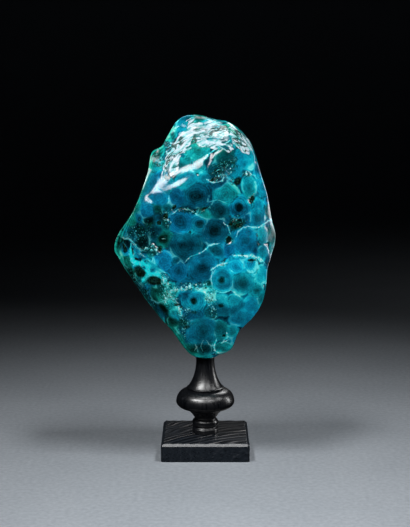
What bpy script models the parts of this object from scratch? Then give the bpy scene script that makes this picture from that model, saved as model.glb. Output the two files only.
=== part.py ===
"""A polished chrysocolla nugget pinned to a turned wooden stem, which is tenoned into a square plinth.

Metres, +Z up. The show side faces -Y. The origin is the centre of the plinth's underside.
"""

import math

import bmesh
import bpy
import numpy as np

MM = 0.001
GAP = 0.3 * MM  # clearance between pieces that touch

# Plinth
PLINTH_SIDE = 60 * MM
PLINTH_HEIGHT = 12.5 * MM
PLINTH_CHAMFER = 1.7 * MM
PLINTH_CORNER = 0.7 * MM

# Stem, as radii and heights above the plinth's underside
TENON_RADIUS = 5 * MM
TENON_LENGTH = 7.5 * MM
FOOT_RADIUS = 9.0 * MM
FOOT_TOP = 16.4 * MM
FOOT_EDGE = 0.8 * MM
BEAD_CORE = 6.6 * MM
BEAD_RADIUS = 9.1 * MM
BEAD_MIDDLE = 19.6 * MM
BEAD_HALF_HEIGHT = 3.0 * MM
WAIST_RADIUS = 7.4 * MM
WAIST_HEIGHT = 22.9 * MM
CAVETTO_TOP = 29.2 * MM
CAVETTO_FLARE = 5.0 * MM
CAVETTO_POWER = 1.35
TORUS_RADIUS = 20.2 * MM
TORUS_MIDDLE = 34.8 * MM
TORUS_RISE = 8.6 * MM
TORUS_DROP = 5.2 * MM
TORUS_TOP_CORE = 12.4 * MM
TORUS_UNDER_CORE = 11.0 * MM
GROOVE_RADIUS = 11.9 * MM
GROOVE_HEIGHT = 43.9 * MM
RIM_RADIUS = 12.9 * MM
RIM_HEIGHT = 44.6 * MM
RIM_EDGE = 0.5 * MM
NECK_RADIUS = 6.3 * MM
NECK_TOP = 66.5 * MM
NECK_EDGE = 0.4 * MM
TRUMPET_TOP = 64.0 * MM
TRUMPET_FLARE = 15.3 * MM
TRUMPET_FALL = 24.0 * MM
TURNED_STEPS = 36

# Where each round moulding starts and ends, in degrees from its outermost point, with its number of steps
RIM_ARC = (45, -60, 3)
TORUS_OVER_ARC = (82, 0, 8)
TORUS_UNDER_ARC = (-12, -75, 5)
BEAD_ARC = (58, -62, 6)
TRUMPET_STEPS = 9
CAVETTO_STEPS = 4

# Steel pin between the stem and the stone
PIN_RADIUS = 1.5 * MM
PIN_DEPTH = 16 * MM
PIN_END_CHAMFER = 0.4 * MM
PIN_STEPS = 20

# Stone: its middle, its half thicknesses, and how full and how soft its form is
STONE_MIDDLE = (-5 * MM, 0.0, 148 * MM)
FRONT_SWELL = 36.0
BACK_SWELL = 32.0
FRONT_FULLNESS = 3.3
BACK_FULLNESS = 2.25
FRONT_SOFTNESS = 24
BACK_SOFTNESS = 12
THIN_EDGE = 0.001  # half the thickness at the very edge, in millimetres
EDGE_WANDER = 5.0  # how far the edge between the two faces strays from its plane, in millimetres
EDGE_WANDER_START = 0.6  # where along the outline that stray begins, in radians
EDGE_DETAIL_FADE = 1.5  # how fast the outline's nooks fade from the edge towards the middle of each face
SMOOTHING_ANGLES = (-0.55, -0.3, 0.0, 0.3, 0.55)  # radians over which the faces average the outline
FOOT_SPREAD = 0.3  # half the angle, in radians, over which the foot keeps its full outline
STONE_DIVISIONS = 5

# The seat on the stem, in millimetres: its radius, the ring round it over which the foot blends in, how far up
# the foot's points are drawn to it, and how far past it they go before the seat is cut flat
SEAT_RADIUS = 9.0
SEAT_BLEND = 2.0
SEAT_SLACK = 5.0
SEAT_TRIM = 0.5

# The stone's outline seen from the front, as (x, z) in millimetres, clockwise from the top
OUTLINE = (
    (-8.5, 232), (0, 231.2), (7.5, 229), (15.5, 227.6), (21.7, 223.8), (27, 218), (32, 210.5),
    (35.3, 200.5), (38.3, 189), (41.3, 178.5), (45.2, 161), (47.7, 151), (47, 145.5), (44, 137.5),
    (41.2, 129), (41.2, 119), (40, 112), (37.2, 104), (31.7, 96.3), (25.6, 90.3), (22.3, 85),
    (20.5, 79), (18.4, 73.8), (14.6, 70.4), (9, 68.4), (3, 67.8), (-4, 67.8), (-9.4, 68.8),
    (-13.4, 71.8), (-16.8, 76.6), (-20.8, 83.8), (-33.2, 99), (-41.5, 109), (-49.7, 120.8),
    (-54.5, 127.4), (-59.2, 135),
    (-62, 139.5), (-61.8, 144.8), (-58.8, 152.2), (-53, 160.5), (-47, 169.4), (-43.2, 177.4),
    (-39.8, 187), (-37.3, 198), (-35.8, 207), (-29, 211.9), (-25.2, 217.6), (-20.3, 226.3),
    (-15, 230.8),
)

# Polished flats, as (x, z, depth at that point, direction of fall in degrees, slope in degrees).
# Depth is measured from the outline's plane. The direction is seen from the front, 0 towards +X.
FRONT_FACETS = (
    (0, 148, 27.0, 160, 4),           # the broad face
    (-6, 194.6, 25.4, 131, 21),       # the bevel above it
    (-28.6, 192.0, 20.4, 139, 41),    # the left shoulder, upper half
    (-28.6, 192.0, 20.4, 123.6, 41),  # the left shoulder, lower half
    (0, 216, 19.5, 102, 45),          # the crown
    (22, 213, 21.0, 55, 48),          # the crown's right end
    (27, 196, 20.5, 20, 36),          # the upper right
    (36, 140, 21.5, 0, 44),           # the right flank
    (27, 108, 21.0, -35, 33),         # the lower right
    (-28, 118, 21.0, 215, 27),        # the lower left
    (-40, 113, 14.5, 215, 60),        # the steep lower left edge
    (-46, 155, 18.5, 190, 40),        # the left point
    (0, 96, 21.0, -90, 19),           # towards the foot
)
BACK_FACETS = (
    (4, 152, 24.5, 100, 5),       # the broad back
    (-22, 188, 18.5, 135, 35),    # the upper left
    (20, 200, 16.5, 50, 40),      # the upper right
    (-34, 128, 17.5, 205, 31),    # the left
    (30, 150, 18.5, 5, 38),       # the right
    (24, 112, 18.5, -30, 33),     # the lower right
    (0, 98, 19.0, -90, 18),       # towards the foot
)

# Shallow hollows in the front, as (x, z, half length, half width, tilt in degrees, depth) in millimetres
HOLLOWS = (
    (-42, 153, 12, 12, 0, 3.2),
    (13, 200, 8, 8, 0, 2.4),
    (-31, 206, 6, 6, 0, 1.6),
    (-18, 190.2, 7.5, 2.4, 28, 0.55),
    (-36, 177.6, 3, 2, -40, 0.4),
)


def clear_scene():
    for obj in list(bpy.data.objects):
        bpy.data.objects.remove(obj)


def finish(name, color, roughness, metallic=0.0):
    """A plain finish: colour, roughness and metallic."""
    material = bpy.data.materials.new(name)
    material.use_nodes = True
    shader = material.node_tree.nodes["Principled BSDF"]
    shader.inputs["Base Color"].default_value = (*color, 1.0)
    shader.inputs["Roughness"].default_value = roughness
    shader.inputs["Metallic"].default_value = metallic
    return material


def place(name, mesh, material, parent, location=(0, 0, 0)):
    """One named sub-part, holding this mesh, under the parent."""
    mesh.materials.append(material)
    obj = bpy.data.objects.new(name, mesh)
    obj.parent = parent
    obj.location = location
    bpy.context.scene.collection.objects.link(obj)
    return obj


def turned(name, profile, material, parent, steps=TURNED_STEPS):
    """A solid of revolution about Z. The profile is (radius, height), from the axis on top to the axis below."""
    mesh = bpy.data.meshes.new(name)
    points = [(radius, 0, height) for radius, height in profile]
    mesh.from_pydata(points, [(i, i + 1) for i in range(len(points) - 1)], [])
    obj = place(name, mesh, material, parent)
    screw = obj.modifiers.new("lathe", "SCREW")
    screw.axis = "Z"
    screw.steps = screw.render_steps = steps
    screw.use_merge_vertices = True
    screw.merge_threshold = 0.00001
    screw.use_smooth_shade = True
    return obj


def cut(obj, cutter):
    """Cuts one shape from an object, and leaves the cutter as a hidden guide."""
    cutter.hide_render = True
    cutter.display_type = "WIRE"
    boolean = obj.modifiers.new("cut", "BOOLEAN")
    boolean.operation = "DIFFERENCE"
    boolean.solver = "EXACT"
    boolean.object = cutter


def arc(middle, radii, start, end, steps):
    """Points along an ellipse from one angle to another, in degrees."""
    angles = [math.radians(start + (end - start) * i / steps) for i in range(steps + 1)]
    return [(middle[0] + radii[0] * math.cos(a), middle[1] + radii[1] * math.sin(a)) for a in angles]


def stem_profile():
    """The turned outline, from the bottom of the pin's hole, over the neck and down to the tenon's end."""
    hole = PIN_RADIUS + GAP
    hole_end = NECK_TOP - PIN_DEPTH - GAP
    flare_middle = (NECK_RADIUS + TRUMPET_FLARE, TRUMPET_TOP)
    rim_angle = math.degrees(math.asin((TRUMPET_TOP - RIM_HEIGHT - RIM_EDGE) / TRUMPET_FALL))
    torus_over = (TORUS_TOP_CORE, TORUS_MIDDLE)
    torus_under = (TORUS_UNDER_CORE, TORUS_MIDDLE)
    foot_bottom = PLINTH_HEIGHT + GAP

    points = [(0, hole_end), (hole, hole_end), (hole, NECK_TOP), (NECK_RADIUS - NECK_EDGE, NECK_TOP)]
    points += [(NECK_RADIUS, NECK_TOP - NECK_EDGE)]
    points += arc(flare_middle, (TRUMPET_FLARE, TRUMPET_FALL), 180, 180 + rim_angle, TRUMPET_STEPS)
    points += arc((RIM_RADIUS - RIM_EDGE, RIM_HEIGHT), (RIM_EDGE, RIM_EDGE), *RIM_ARC)
    points += [(GROOVE_RADIUS, GROOVE_HEIGHT)]
    points += arc(torus_over, (TORUS_RADIUS - TORUS_TOP_CORE, TORUS_RISE), *TORUS_OVER_ARC)
    points += arc(torus_under, (TORUS_RADIUS - TORUS_UNDER_CORE, TORUS_DROP), *TORUS_UNDER_ARC)
    for i in range(CAVETTO_STEPS + 1):
        rise = 1 - i / CAVETTO_STEPS
        height = WAIST_HEIGHT + (CAVETTO_TOP - WAIST_HEIGHT) * rise
        points += [(WAIST_RADIUS + CAVETTO_FLARE * rise**CAVETTO_POWER, height)]
    points += arc((BEAD_CORE, BEAD_MIDDLE), (BEAD_RADIUS - BEAD_CORE, BEAD_HALF_HEIGHT), *BEAD_ARC)
    points += [(FOOT_RADIUS - FOOT_EDGE, FOOT_TOP)]
    points += [(FOOT_RADIUS, FOOT_TOP - FOOT_EDGE)]
    points += [(FOOT_RADIUS, foot_bottom), (TENON_RADIUS, foot_bottom)]
    points += [(TENON_RADIUS, foot_bottom - TENON_LENGTH), (0, foot_bottom - TENON_LENGTH)]
    return points


def make_plinth(parent, material):
    """A square block, chamfered round its top, with a blind mortise for the tenon."""
    shape = bmesh.new()
    bmesh.ops.create_cube(shape, size=1)
    bmesh.ops.scale(shape, vec=(PLINTH_SIDE, PLINTH_SIDE, PLINTH_HEIGHT), verts=shape.verts)
    bmesh.ops.translate(shape, vec=(0, 0, PLINTH_HEIGHT / 2), verts=shape.verts)
    top = [e for e in shape.edges if all(v.co.z > PLINTH_HEIGHT / 2 for v in e.verts)]
    bmesh.ops.bevel(shape, geom=top, offset=PLINTH_CHAMFER, segments=1, affect="EDGES")
    upright = [e for e in shape.edges if abs(e.verts[0].co.z - e.verts[1].co.z) > PLINTH_CORNER]
    bmesh.ops.bevel(shape, geom=upright, offset=PLINTH_CORNER, segments=2, profile=0.5, affect="EDGES")
    mesh = bpy.data.meshes.new("plinth")
    shape.to_mesh(mesh)
    shape.free()
    plinth = place("plinth", mesh, material, parent)

    radius = TENON_RADIUS + GAP
    floor = PLINTH_HEIGHT - TENON_LENGTH - GAP
    over = PLINTH_HEIGHT + PLINTH_CHAMFER
    profile = [(0, over), (radius, over), (radius, floor), (0, floor)]
    cut(plinth, turned("mortise_cutter", profile, material, parent))
    return plinth


def make_pin(parent, material):
    """A straight dowel, half in the stem and half in the stone."""
    low = NECK_TOP - PIN_DEPTH
    high = NECK_TOP + PIN_DEPTH
    end = PIN_RADIUS - PIN_END_CHAMFER
    profile = [
        (0, high),
        (end, high),
        (PIN_RADIUS, high - PIN_END_CHAMFER),
        (PIN_RADIUS, low + PIN_END_CHAMFER),
        (end, low),
        (0, low),
    ]
    return turned("mounting_pin", profile, material, parent, steps=PIN_STEPS)


def outline_radius(angles):
    """Millimetres from the stone's middle to its outline, on a smooth closed curve through the points."""
    middle = (STONE_MIDDLE[0] / MM, STONE_MIDDLE[2] / MM)
    points = np.array(OUTLINE, float) - middle
    knots = np.arctan2(points[:, 1], points[:, 0])
    order = np.argsort(knots)
    turn = 2 * math.pi
    knots = knots[order]
    radii = np.hypot(points[order, 0], points[order, 1])
    knots = np.concatenate([knots[-2:] - turn, knots, knots[:2] + turn])
    radii = np.concatenate([radii[-2:], radii, radii[:2]])
    slopes = np.gradient(radii, knots)
    at = np.searchsorted(knots, angles, side="right") - 1
    width = knots[at + 1] - knots[at]
    t = (angles - knots[at]) / width
    start = (1 + 2 * t) * (1 - t) ** 2 * radii[at] + t * (1 - t) ** 2 * width * slopes[at]
    end = t * t * (3 - 2 * t) * radii[at + 1] + t * t * (t - 1) * width * slopes[at + 1]
    return start + end


def flank_depth(x, z, share, swell, fullness, softness, facets):
    """Millimetres from the outline's plane to the surface: a swelling, cut by flats that blend softly."""
    rounded = swell * (1 - np.minimum(share, 1) ** fullness) ** (1 / fullness)
    blend = np.maximum(rounded, THIN_EDGE) ** -softness
    for facet_x, facet_z, depth, fall, slope in facets:
        away = (x - facet_x) * math.cos(math.radians(fall)) + (z - facet_z) * math.sin(math.radians(fall))
        flat = depth - math.tan(math.radians(slope)) * away
        blend += np.maximum(flat, 1) ** -softness
    return blend ** (-1 / softness)


def hollow_depth(x, z, middle_x, middle_z, length, width, tilt, depth):
    """Millimetres by which one tilted, bell-shaped hollow lowers the face."""
    turn = math.radians(tilt)
    along = (x - middle_x) * math.cos(turn) + (z - middle_z) * math.sin(turn)
    aside = (z - middle_z) * math.cos(turn) - (x - middle_x) * math.sin(turn)
    return depth * np.exp(-((along / length) ** 2) - (aside / width) ** 2)


def stone_surface(ball):
    """Millimetres from the stone's middle, for points of a unit ball whose -Y pole is the middle of the face."""
    share = np.hypot(ball[:, 0], ball[:, 2])
    angles = np.arctan2(ball[:, 2], ball[:, 0])
    turn = 2 * math.pi
    wrapped = [(angles + shift + math.pi) % turn - math.pi for shift in SMOOTHING_ANGLES]
    smooth = np.mean([outline_radius(a) for a in wrapped], axis=0)
    foot = np.exp(-(((angles + math.pi / 2) / FOOT_SPREAD) ** 2))
    detail = np.maximum((1 - np.abs(ball[:, 1])) ** EDGE_DETAIL_FADE, foot)
    reach = share * (smooth + (outline_radius(angles) - smooth) * detail)
    x = reach * np.cos(angles) + STONE_MIDDLE[0] / MM
    z = reach * np.sin(angles) + STONE_MIDDLE[2] / MM
    front = flank_depth(x, z, share, FRONT_SWELL, FRONT_FULLNESS, FRONT_SOFTNESS, FRONT_FACETS)
    back = flank_depth(x, z, share, BACK_SWELL, BACK_FULLNESS, BACK_SOFTNESS, BACK_FACETS)
    for hollow in HOLLOWS:
        front -= np.minimum(hollow_depth(x, z, *hollow), front / 2)
    depth = np.where(ball[:, 1] < 0, -front, back)
    depth += EDGE_WANDER * np.sin(2 * angles + EDGE_WANDER_START) * (1 - foot) * share**3

    seat = NECK_TOP / MM
    seated = np.clip((SEAT_RADIUS + SEAT_BLEND - np.hypot(x, depth)) / (2 * SEAT_BLEND), 0, 1)
    seated *= z < seat + SEAT_SLACK
    z += seated * (seat - SEAT_TRIM - z)
    return np.column_stack([x - STONE_MIDDLE[0] / MM, depth, z - STONE_MIDDLE[2] / MM])


def make_stone(parent, material):
    """The nugget: a ball whose every point is moved out to the outline and to the depth of its side."""
    shape = bmesh.new()
    bmesh.ops.create_icosphere(shape, subdivisions=STONE_DIVISIONS, radius=1)
    ball = np.array([v.co for v in shape.verts])
    for vert, place_mm in zip(shape.verts, stone_surface(ball)):
        vert.co = place_mm * MM
    bmesh.ops.recalc_face_normals(shape, faces=shape.faces)
    mesh = bpy.data.meshes.new("stone")
    shape.to_mesh(mesh)
    shape.free()
    mesh.shade_smooth()
    stone = place("stone", mesh, material, parent, STONE_MIDDLE)

    hole = PIN_RADIUS + GAP
    hole_end = NECK_TOP + PIN_DEPTH + GAP
    seat = NECK_TOP + GAP
    under = seat - PIN_DEPTH
    wide = (SEAT_RADIUS + SEAT_BLEND) * MM
    profile = [(0, hole_end), (hole, hole_end), (hole, seat), (wide, seat), (wide, under), (0, under)]
    cut(stone, turned("seat_cutter", profile, material, parent))
    return stone


def main():
    clear_scene()
    specimen = bpy.data.objects.new("specimen", None)
    bpy.context.scene.collection.objects.link(specimen)
    ebonised = finish("ebonised wood", (0.012, 0.012, 0.014), 0.35)
    steel = finish("steel", (0.55, 0.55, 0.56), 0.3, metallic=1.0)
    chrysocolla = finish("polished chrysocolla", (0.003, 0.115, 0.178), 0.15)
    make_plinth(specimen, ebonised)
    turned("stem", stem_profile(), ebonised, specimen)
    make_pin(specimen, steel)
    make_stone(specimen, chrysocolla)


main()
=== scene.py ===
"""A polished chrysocolla nugget on a turned, ebonised stem and a square plinth, in soft studio light.

Metres, +Z up, as the frame has it. The nugget's show side faces -Y. The sizes below are in millimetres, as
they were judged, except the places and sizes of the lamps and the stage.
"""

import math
from functools import partial

import bpy
import numpy as np
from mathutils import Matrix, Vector, noise


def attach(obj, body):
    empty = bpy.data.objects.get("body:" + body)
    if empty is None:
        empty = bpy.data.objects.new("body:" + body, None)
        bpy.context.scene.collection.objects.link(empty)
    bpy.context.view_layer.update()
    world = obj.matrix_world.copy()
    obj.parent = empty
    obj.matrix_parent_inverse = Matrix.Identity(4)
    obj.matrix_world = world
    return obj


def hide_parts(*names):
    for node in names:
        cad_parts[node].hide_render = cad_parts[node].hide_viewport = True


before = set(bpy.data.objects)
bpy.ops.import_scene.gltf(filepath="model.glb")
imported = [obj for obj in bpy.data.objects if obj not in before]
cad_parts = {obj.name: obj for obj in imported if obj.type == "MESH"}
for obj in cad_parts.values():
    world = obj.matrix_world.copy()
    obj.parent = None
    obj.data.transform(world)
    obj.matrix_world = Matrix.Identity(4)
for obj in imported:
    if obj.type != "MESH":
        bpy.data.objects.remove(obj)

MM = 0.001
TURN = 2 * math.pi

# Keeps a power or a division away from zero
TINY = 0.001

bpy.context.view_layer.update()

# Camera, fitted to the plinth's corners and the stand's axis in the photograph
PICTURE_HEIGHT = 527
FOCAL_PIXELS = 1229
SENSOR_HEIGHT = 24.0
CAMERA_PLACE = (-0.2 * MM, -830 * MM, 257 * MM)
CAMERA_PITCH = 8.62

# The seed of the vector noise that warps the growths and the veins
NOISE_SEED = 2

# What the lamps look at
LAMP_TARGET = (-0.010, -0.010, 0.150)
STAND_TARGET = (0.0, 0.0, 0.030)
FLOOR_TARGET = (0.02, -0.28, 0.0)
BACKDROP_TARGET = (0.45, 0.35, 0.0)

# The lamps, all soft boxes: name, place, size, power, spread in degrees, the pieces it lights, whether
# polished surfaces mirror it, and what it looks at
LAMPS = (
    ("soft box upper left", (-0.465, -0.867, 0.725), (0.5, 0.5), 1.4, 60, "stone", True, LAMP_TARGET),
    ("soft box above", (-0.12, -0.15, 1.2), (0.7, 0.6), 1.1, 56, "stone", True, LAMP_TARGET),
    ("strip right", (1.0, 0.32, 0.30), (0.24, 0.7), 0.6, 60, "stone", True, LAMP_TARGET),
    ("strip left behind", (-0.85, 0.53, 0.36), (0.08, 0.6), 0.19, 60, "stone", True, LAMP_TARGET),
    ("fill lower right", (0.85, -0.75, 0.10), (0.5, 0.5), 0.9, 60, "whole piece", False, LAMP_TARGET),
    ("soft box behind", (0.35, 1.0, 0.85), (0.4, 0.4), 0.4, 60, "whole piece", True, LAMP_TARGET),
    ("pool from the right", (0.36, -0.23, 1.0), (0.3, 0.14), 0.95, 72, "ground", False, FLOOR_TARGET),
    ("pool from the left", (-0.33, -0.30, 1.0), (0.3, 0.14), 0.72, 62, "ground", False, FLOOR_TARGET),
    ("far floor", (0.5, 0.3, 0.8), (0.3, 0.3), 0.075, 100, "ground", False, BACKDROP_TARGET),
    ("bank left of the stand", (-0.411, -0.526, 0.74), (0.8, 0.24), 2.3, 60, "stand", True, STAND_TARGET),
    ("bank before the stand", (0.27, -0.61, 0.74), (0.5, 0.24), 0.45, 60, "stand", True, STAND_TARGET),
    ("bank right of the stand", (0.65, -0.17, 0.74), (0.2, 0.24), 0.21, 60, "stand", True, STAND_TARGET),
    ("strip right of the stand", (1.0, 0.30, 0.30), (0.12, 0.6), 0.5, 60, "stand", True, STAND_TARGET),
    ("soft box over the stand", (0.0, -0.32, 1.15), (0.6, 0.25), 0.7, 60, "stand", True, STAND_TARGET),
)
ROOM_COLOUR = "B8C0CC"
ROOM_STRENGTH = 0.003

# The stage: width, front edge, where the floor starts to curve up, the curve's radius, its height, and
# the curve's steps
STAGE_WIDTH = 6.0
STAGE_NEAR = -3.0
STAGE_BEND = 1.6
STAGE_RADIUS = 0.8
STAGE_TOP = 3.0
STAGE_STEPS = 16

# The nugget's broad form, as the frame's stone has it: its middle, and for front and back how far they
# swell, how full they are and how softly their flats blend
STONE_MIDDLE = (-5.0, 0.0, 148.0)
FRONT_SWELL = 36.0
BACK_SWELL = 32.0
FRONT_FULLNESS = 3.3
BACK_FULLNESS = 2.25
FRONT_SOFTNESS = 24
BACK_SOFTNESS = 12

# Its edge: how far it wanders to the front and back, and from which angle, and millimetres from it to the
# middle
EDGE_WANDER = 5.0
EDGE_WANDER_START = 0.6
EDGE_SCALE = 50.0

# The outline's detail fades towards the middle of the face, where the radii at these angles from a point
# are averaged. It stays within this angle of the foot, which is cut flat where it sits on the neck
EDGE_DETAIL_FADE = 1.5
SMOOTHING_ANGLES = (-0.55, -0.3, 0.0, 0.3, 0.55)
FOOT_SPREAD = 0.3
SEAT_RADIUS = 9.0
SEAT_SLACK = 5.0

# The outline seen from the front, as (x, z), clockwise from the top
OUTLINE = (
    (-8.5, 232), (0, 231.2), (7.5, 229), (15.5, 227.6), (21.7, 223.8), (27, 218), (32, 210.5),
    (35.3, 200.5), (38.3, 189), (41.3, 178.5), (45.2, 161), (47.7, 151), (47, 145.5), (44, 137.5),
    (41.2, 129), (41.2, 119), (40, 112), (37.2, 104), (31.7, 96.3), (25.6, 90.3), (22.3, 85), (20.5, 79),
    (18.4, 73.8), (14.6, 70.4), (9, 68.4), (3, 67.8), (-4, 67.8), (-9.4, 68.8), (-13.4, 71.8),
    (-16.8, 76.6), (-20.8, 83.8), (-33.2, 99), (-41.5, 109), (-49.7, 120.8), (-54.5, 127.4), (-59.2, 135),
    (-62, 139.5), (-61.8, 144.8), (-58.8, 152.2), (-53, 160.5), (-47, 169.4), (-43.2, 177.4), (-39.8, 187),
    (-37.3, 198), (-35.8, 207), (-29, 211.9), (-25.2, 217.6), (-20.3, 226.3), (-15, 230.8),
)

# Polished flats: x, z, depth there, direction of fall and slope in degrees
FRONT_FACETS = (
    (0, 148, 27, 160, 4), (-6, 194.6, 25.4, 131, 21), (-28.6, 192, 20.4, 139, 41),
    (-28.6, 192, 20.4, 121.6, 41), (0, 216, 19.5, 102, 45), (22, 213, 21, 55, 48), (27, 196, 20.5, 20, 36),
    (36, 140, 21.5, 0, 44), (27, 108, 21, -35, 33), (-28, 118, 21, 215, 27), (-40, 113, 14.5, 215, 60),
    (-46, 155, 18.5, 190, 40), (0, 96, 21, -90, 19),
)
BACK_FACETS = (
    (4, 152, 24.5, 100, 5), (-22, 188, 18.5, 135, 35), (20, 200, 16.5, 50, 40), (-34, 128, 17.5, 205, 31),
    (30, 150, 18.5, 5, 38), (24, 112, 18.5, -30, 33), (0, 98, 19, -90, 18),
)

# Shallow hollows in the front: x, z, half length, half width, tilt in degrees and depth
HOLLOWS = (
    (-42, 153, 12, 12, 0, 3.2), (13, 199, 9, 6.5, 35, 2.4), (-31, 206, 6, 6, 0, 1.6),
    (-18, 190.2, 7.5, 2.4, 28, 0.55), (-36, 177.6, 3, 2, -40, 0.4),
)

# Steps of the nugget's mesh across, up and through its thickness, and the gap round each patch of its flat
# map
STEPS_ACROSS = 128
STEPS_UP = 188
STEPS_THROUGH = 76
MAP_GUTTER = 0.006

# What the nugget's mesh stores for its material, three values to an attribute
NUGGET_FIELDS = {
    "look": ("tone", "hue", "ring"),
    "growth": ("from_middle", "border", "kind"),
    "veins": ("vein_side", "vein", "silica"),
    "damage": ("crust", "hollow", "brim"),
}

# How growths are drawn: how far their edges melt into each other, how much paler they get towards the edge,
# how far short of their radius they stop, how strong their cores are, the matrix's start and tone in the
# gaps between them, and how much greener all of it is
EDGE_BLEND = 0.9
GROWTH_RISE = 0.09
REACH_TRIM = 0.4
CORE_FORCE = 0.8
MATRIX_GAP = 0.9
MATRIX_TONE = 0.46
HUE_BIAS = 0.08

# The growths are looked up for the points in this many batches, to spare memory
BATCHES = 24

# Wandering, as how far and over what distance: the growths' borders broadly and finely, the veins, and
# their widths
BROAD_WARP = (1.5, 9.0)
FINE_WARP = (0.5, 2.6)
VEIN_WARP = (0.5, 2.4)
VEIN_SWELLING = (0.9, 3.0)

# The thin edge, painted paler as light shining through it: widths of the mint green band, of its layers,
# and of the pale line, which is also a painted rim highlight
MINT_WIDTH = 4.2
MINT_LAYER = 1.5
RIM_GLOW_WIDTH = 1.2

# The polished surface's relief, as height and width: long and short waves, grooves between growths, crumbs
# in the crust, and the crown's bulges, large and small, which start between these heights
WAVES = (0.24, 15.0)
SHORT_WAVES = (0.07, 6.0)
GROOVES = (0.05, 0.45)
CRUMBS = (0.24, 1.9)
BULGES = (0.7, 7.0)
SMALL_BULGES = (0.25, 2.4)
BULGES_START = (207, 217)

# Roughness of the polished stone and how much its crumbs add, and refractive indices of stone and wax
POLISH = 0.08
CRUMB_ROUGHNESS = 0.40
STONE_INDEX = 1.52
WAX_INDEX = 1.5

# Growths scattered over the rest: their seed, how many are tried, how many are large, and how closely they
# lie
SCATTER_SEED = 11
SCATTER_TRIES = 2600
LARGE_SCATTERED = 110
SCATTER_GAP = 0.76

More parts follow.
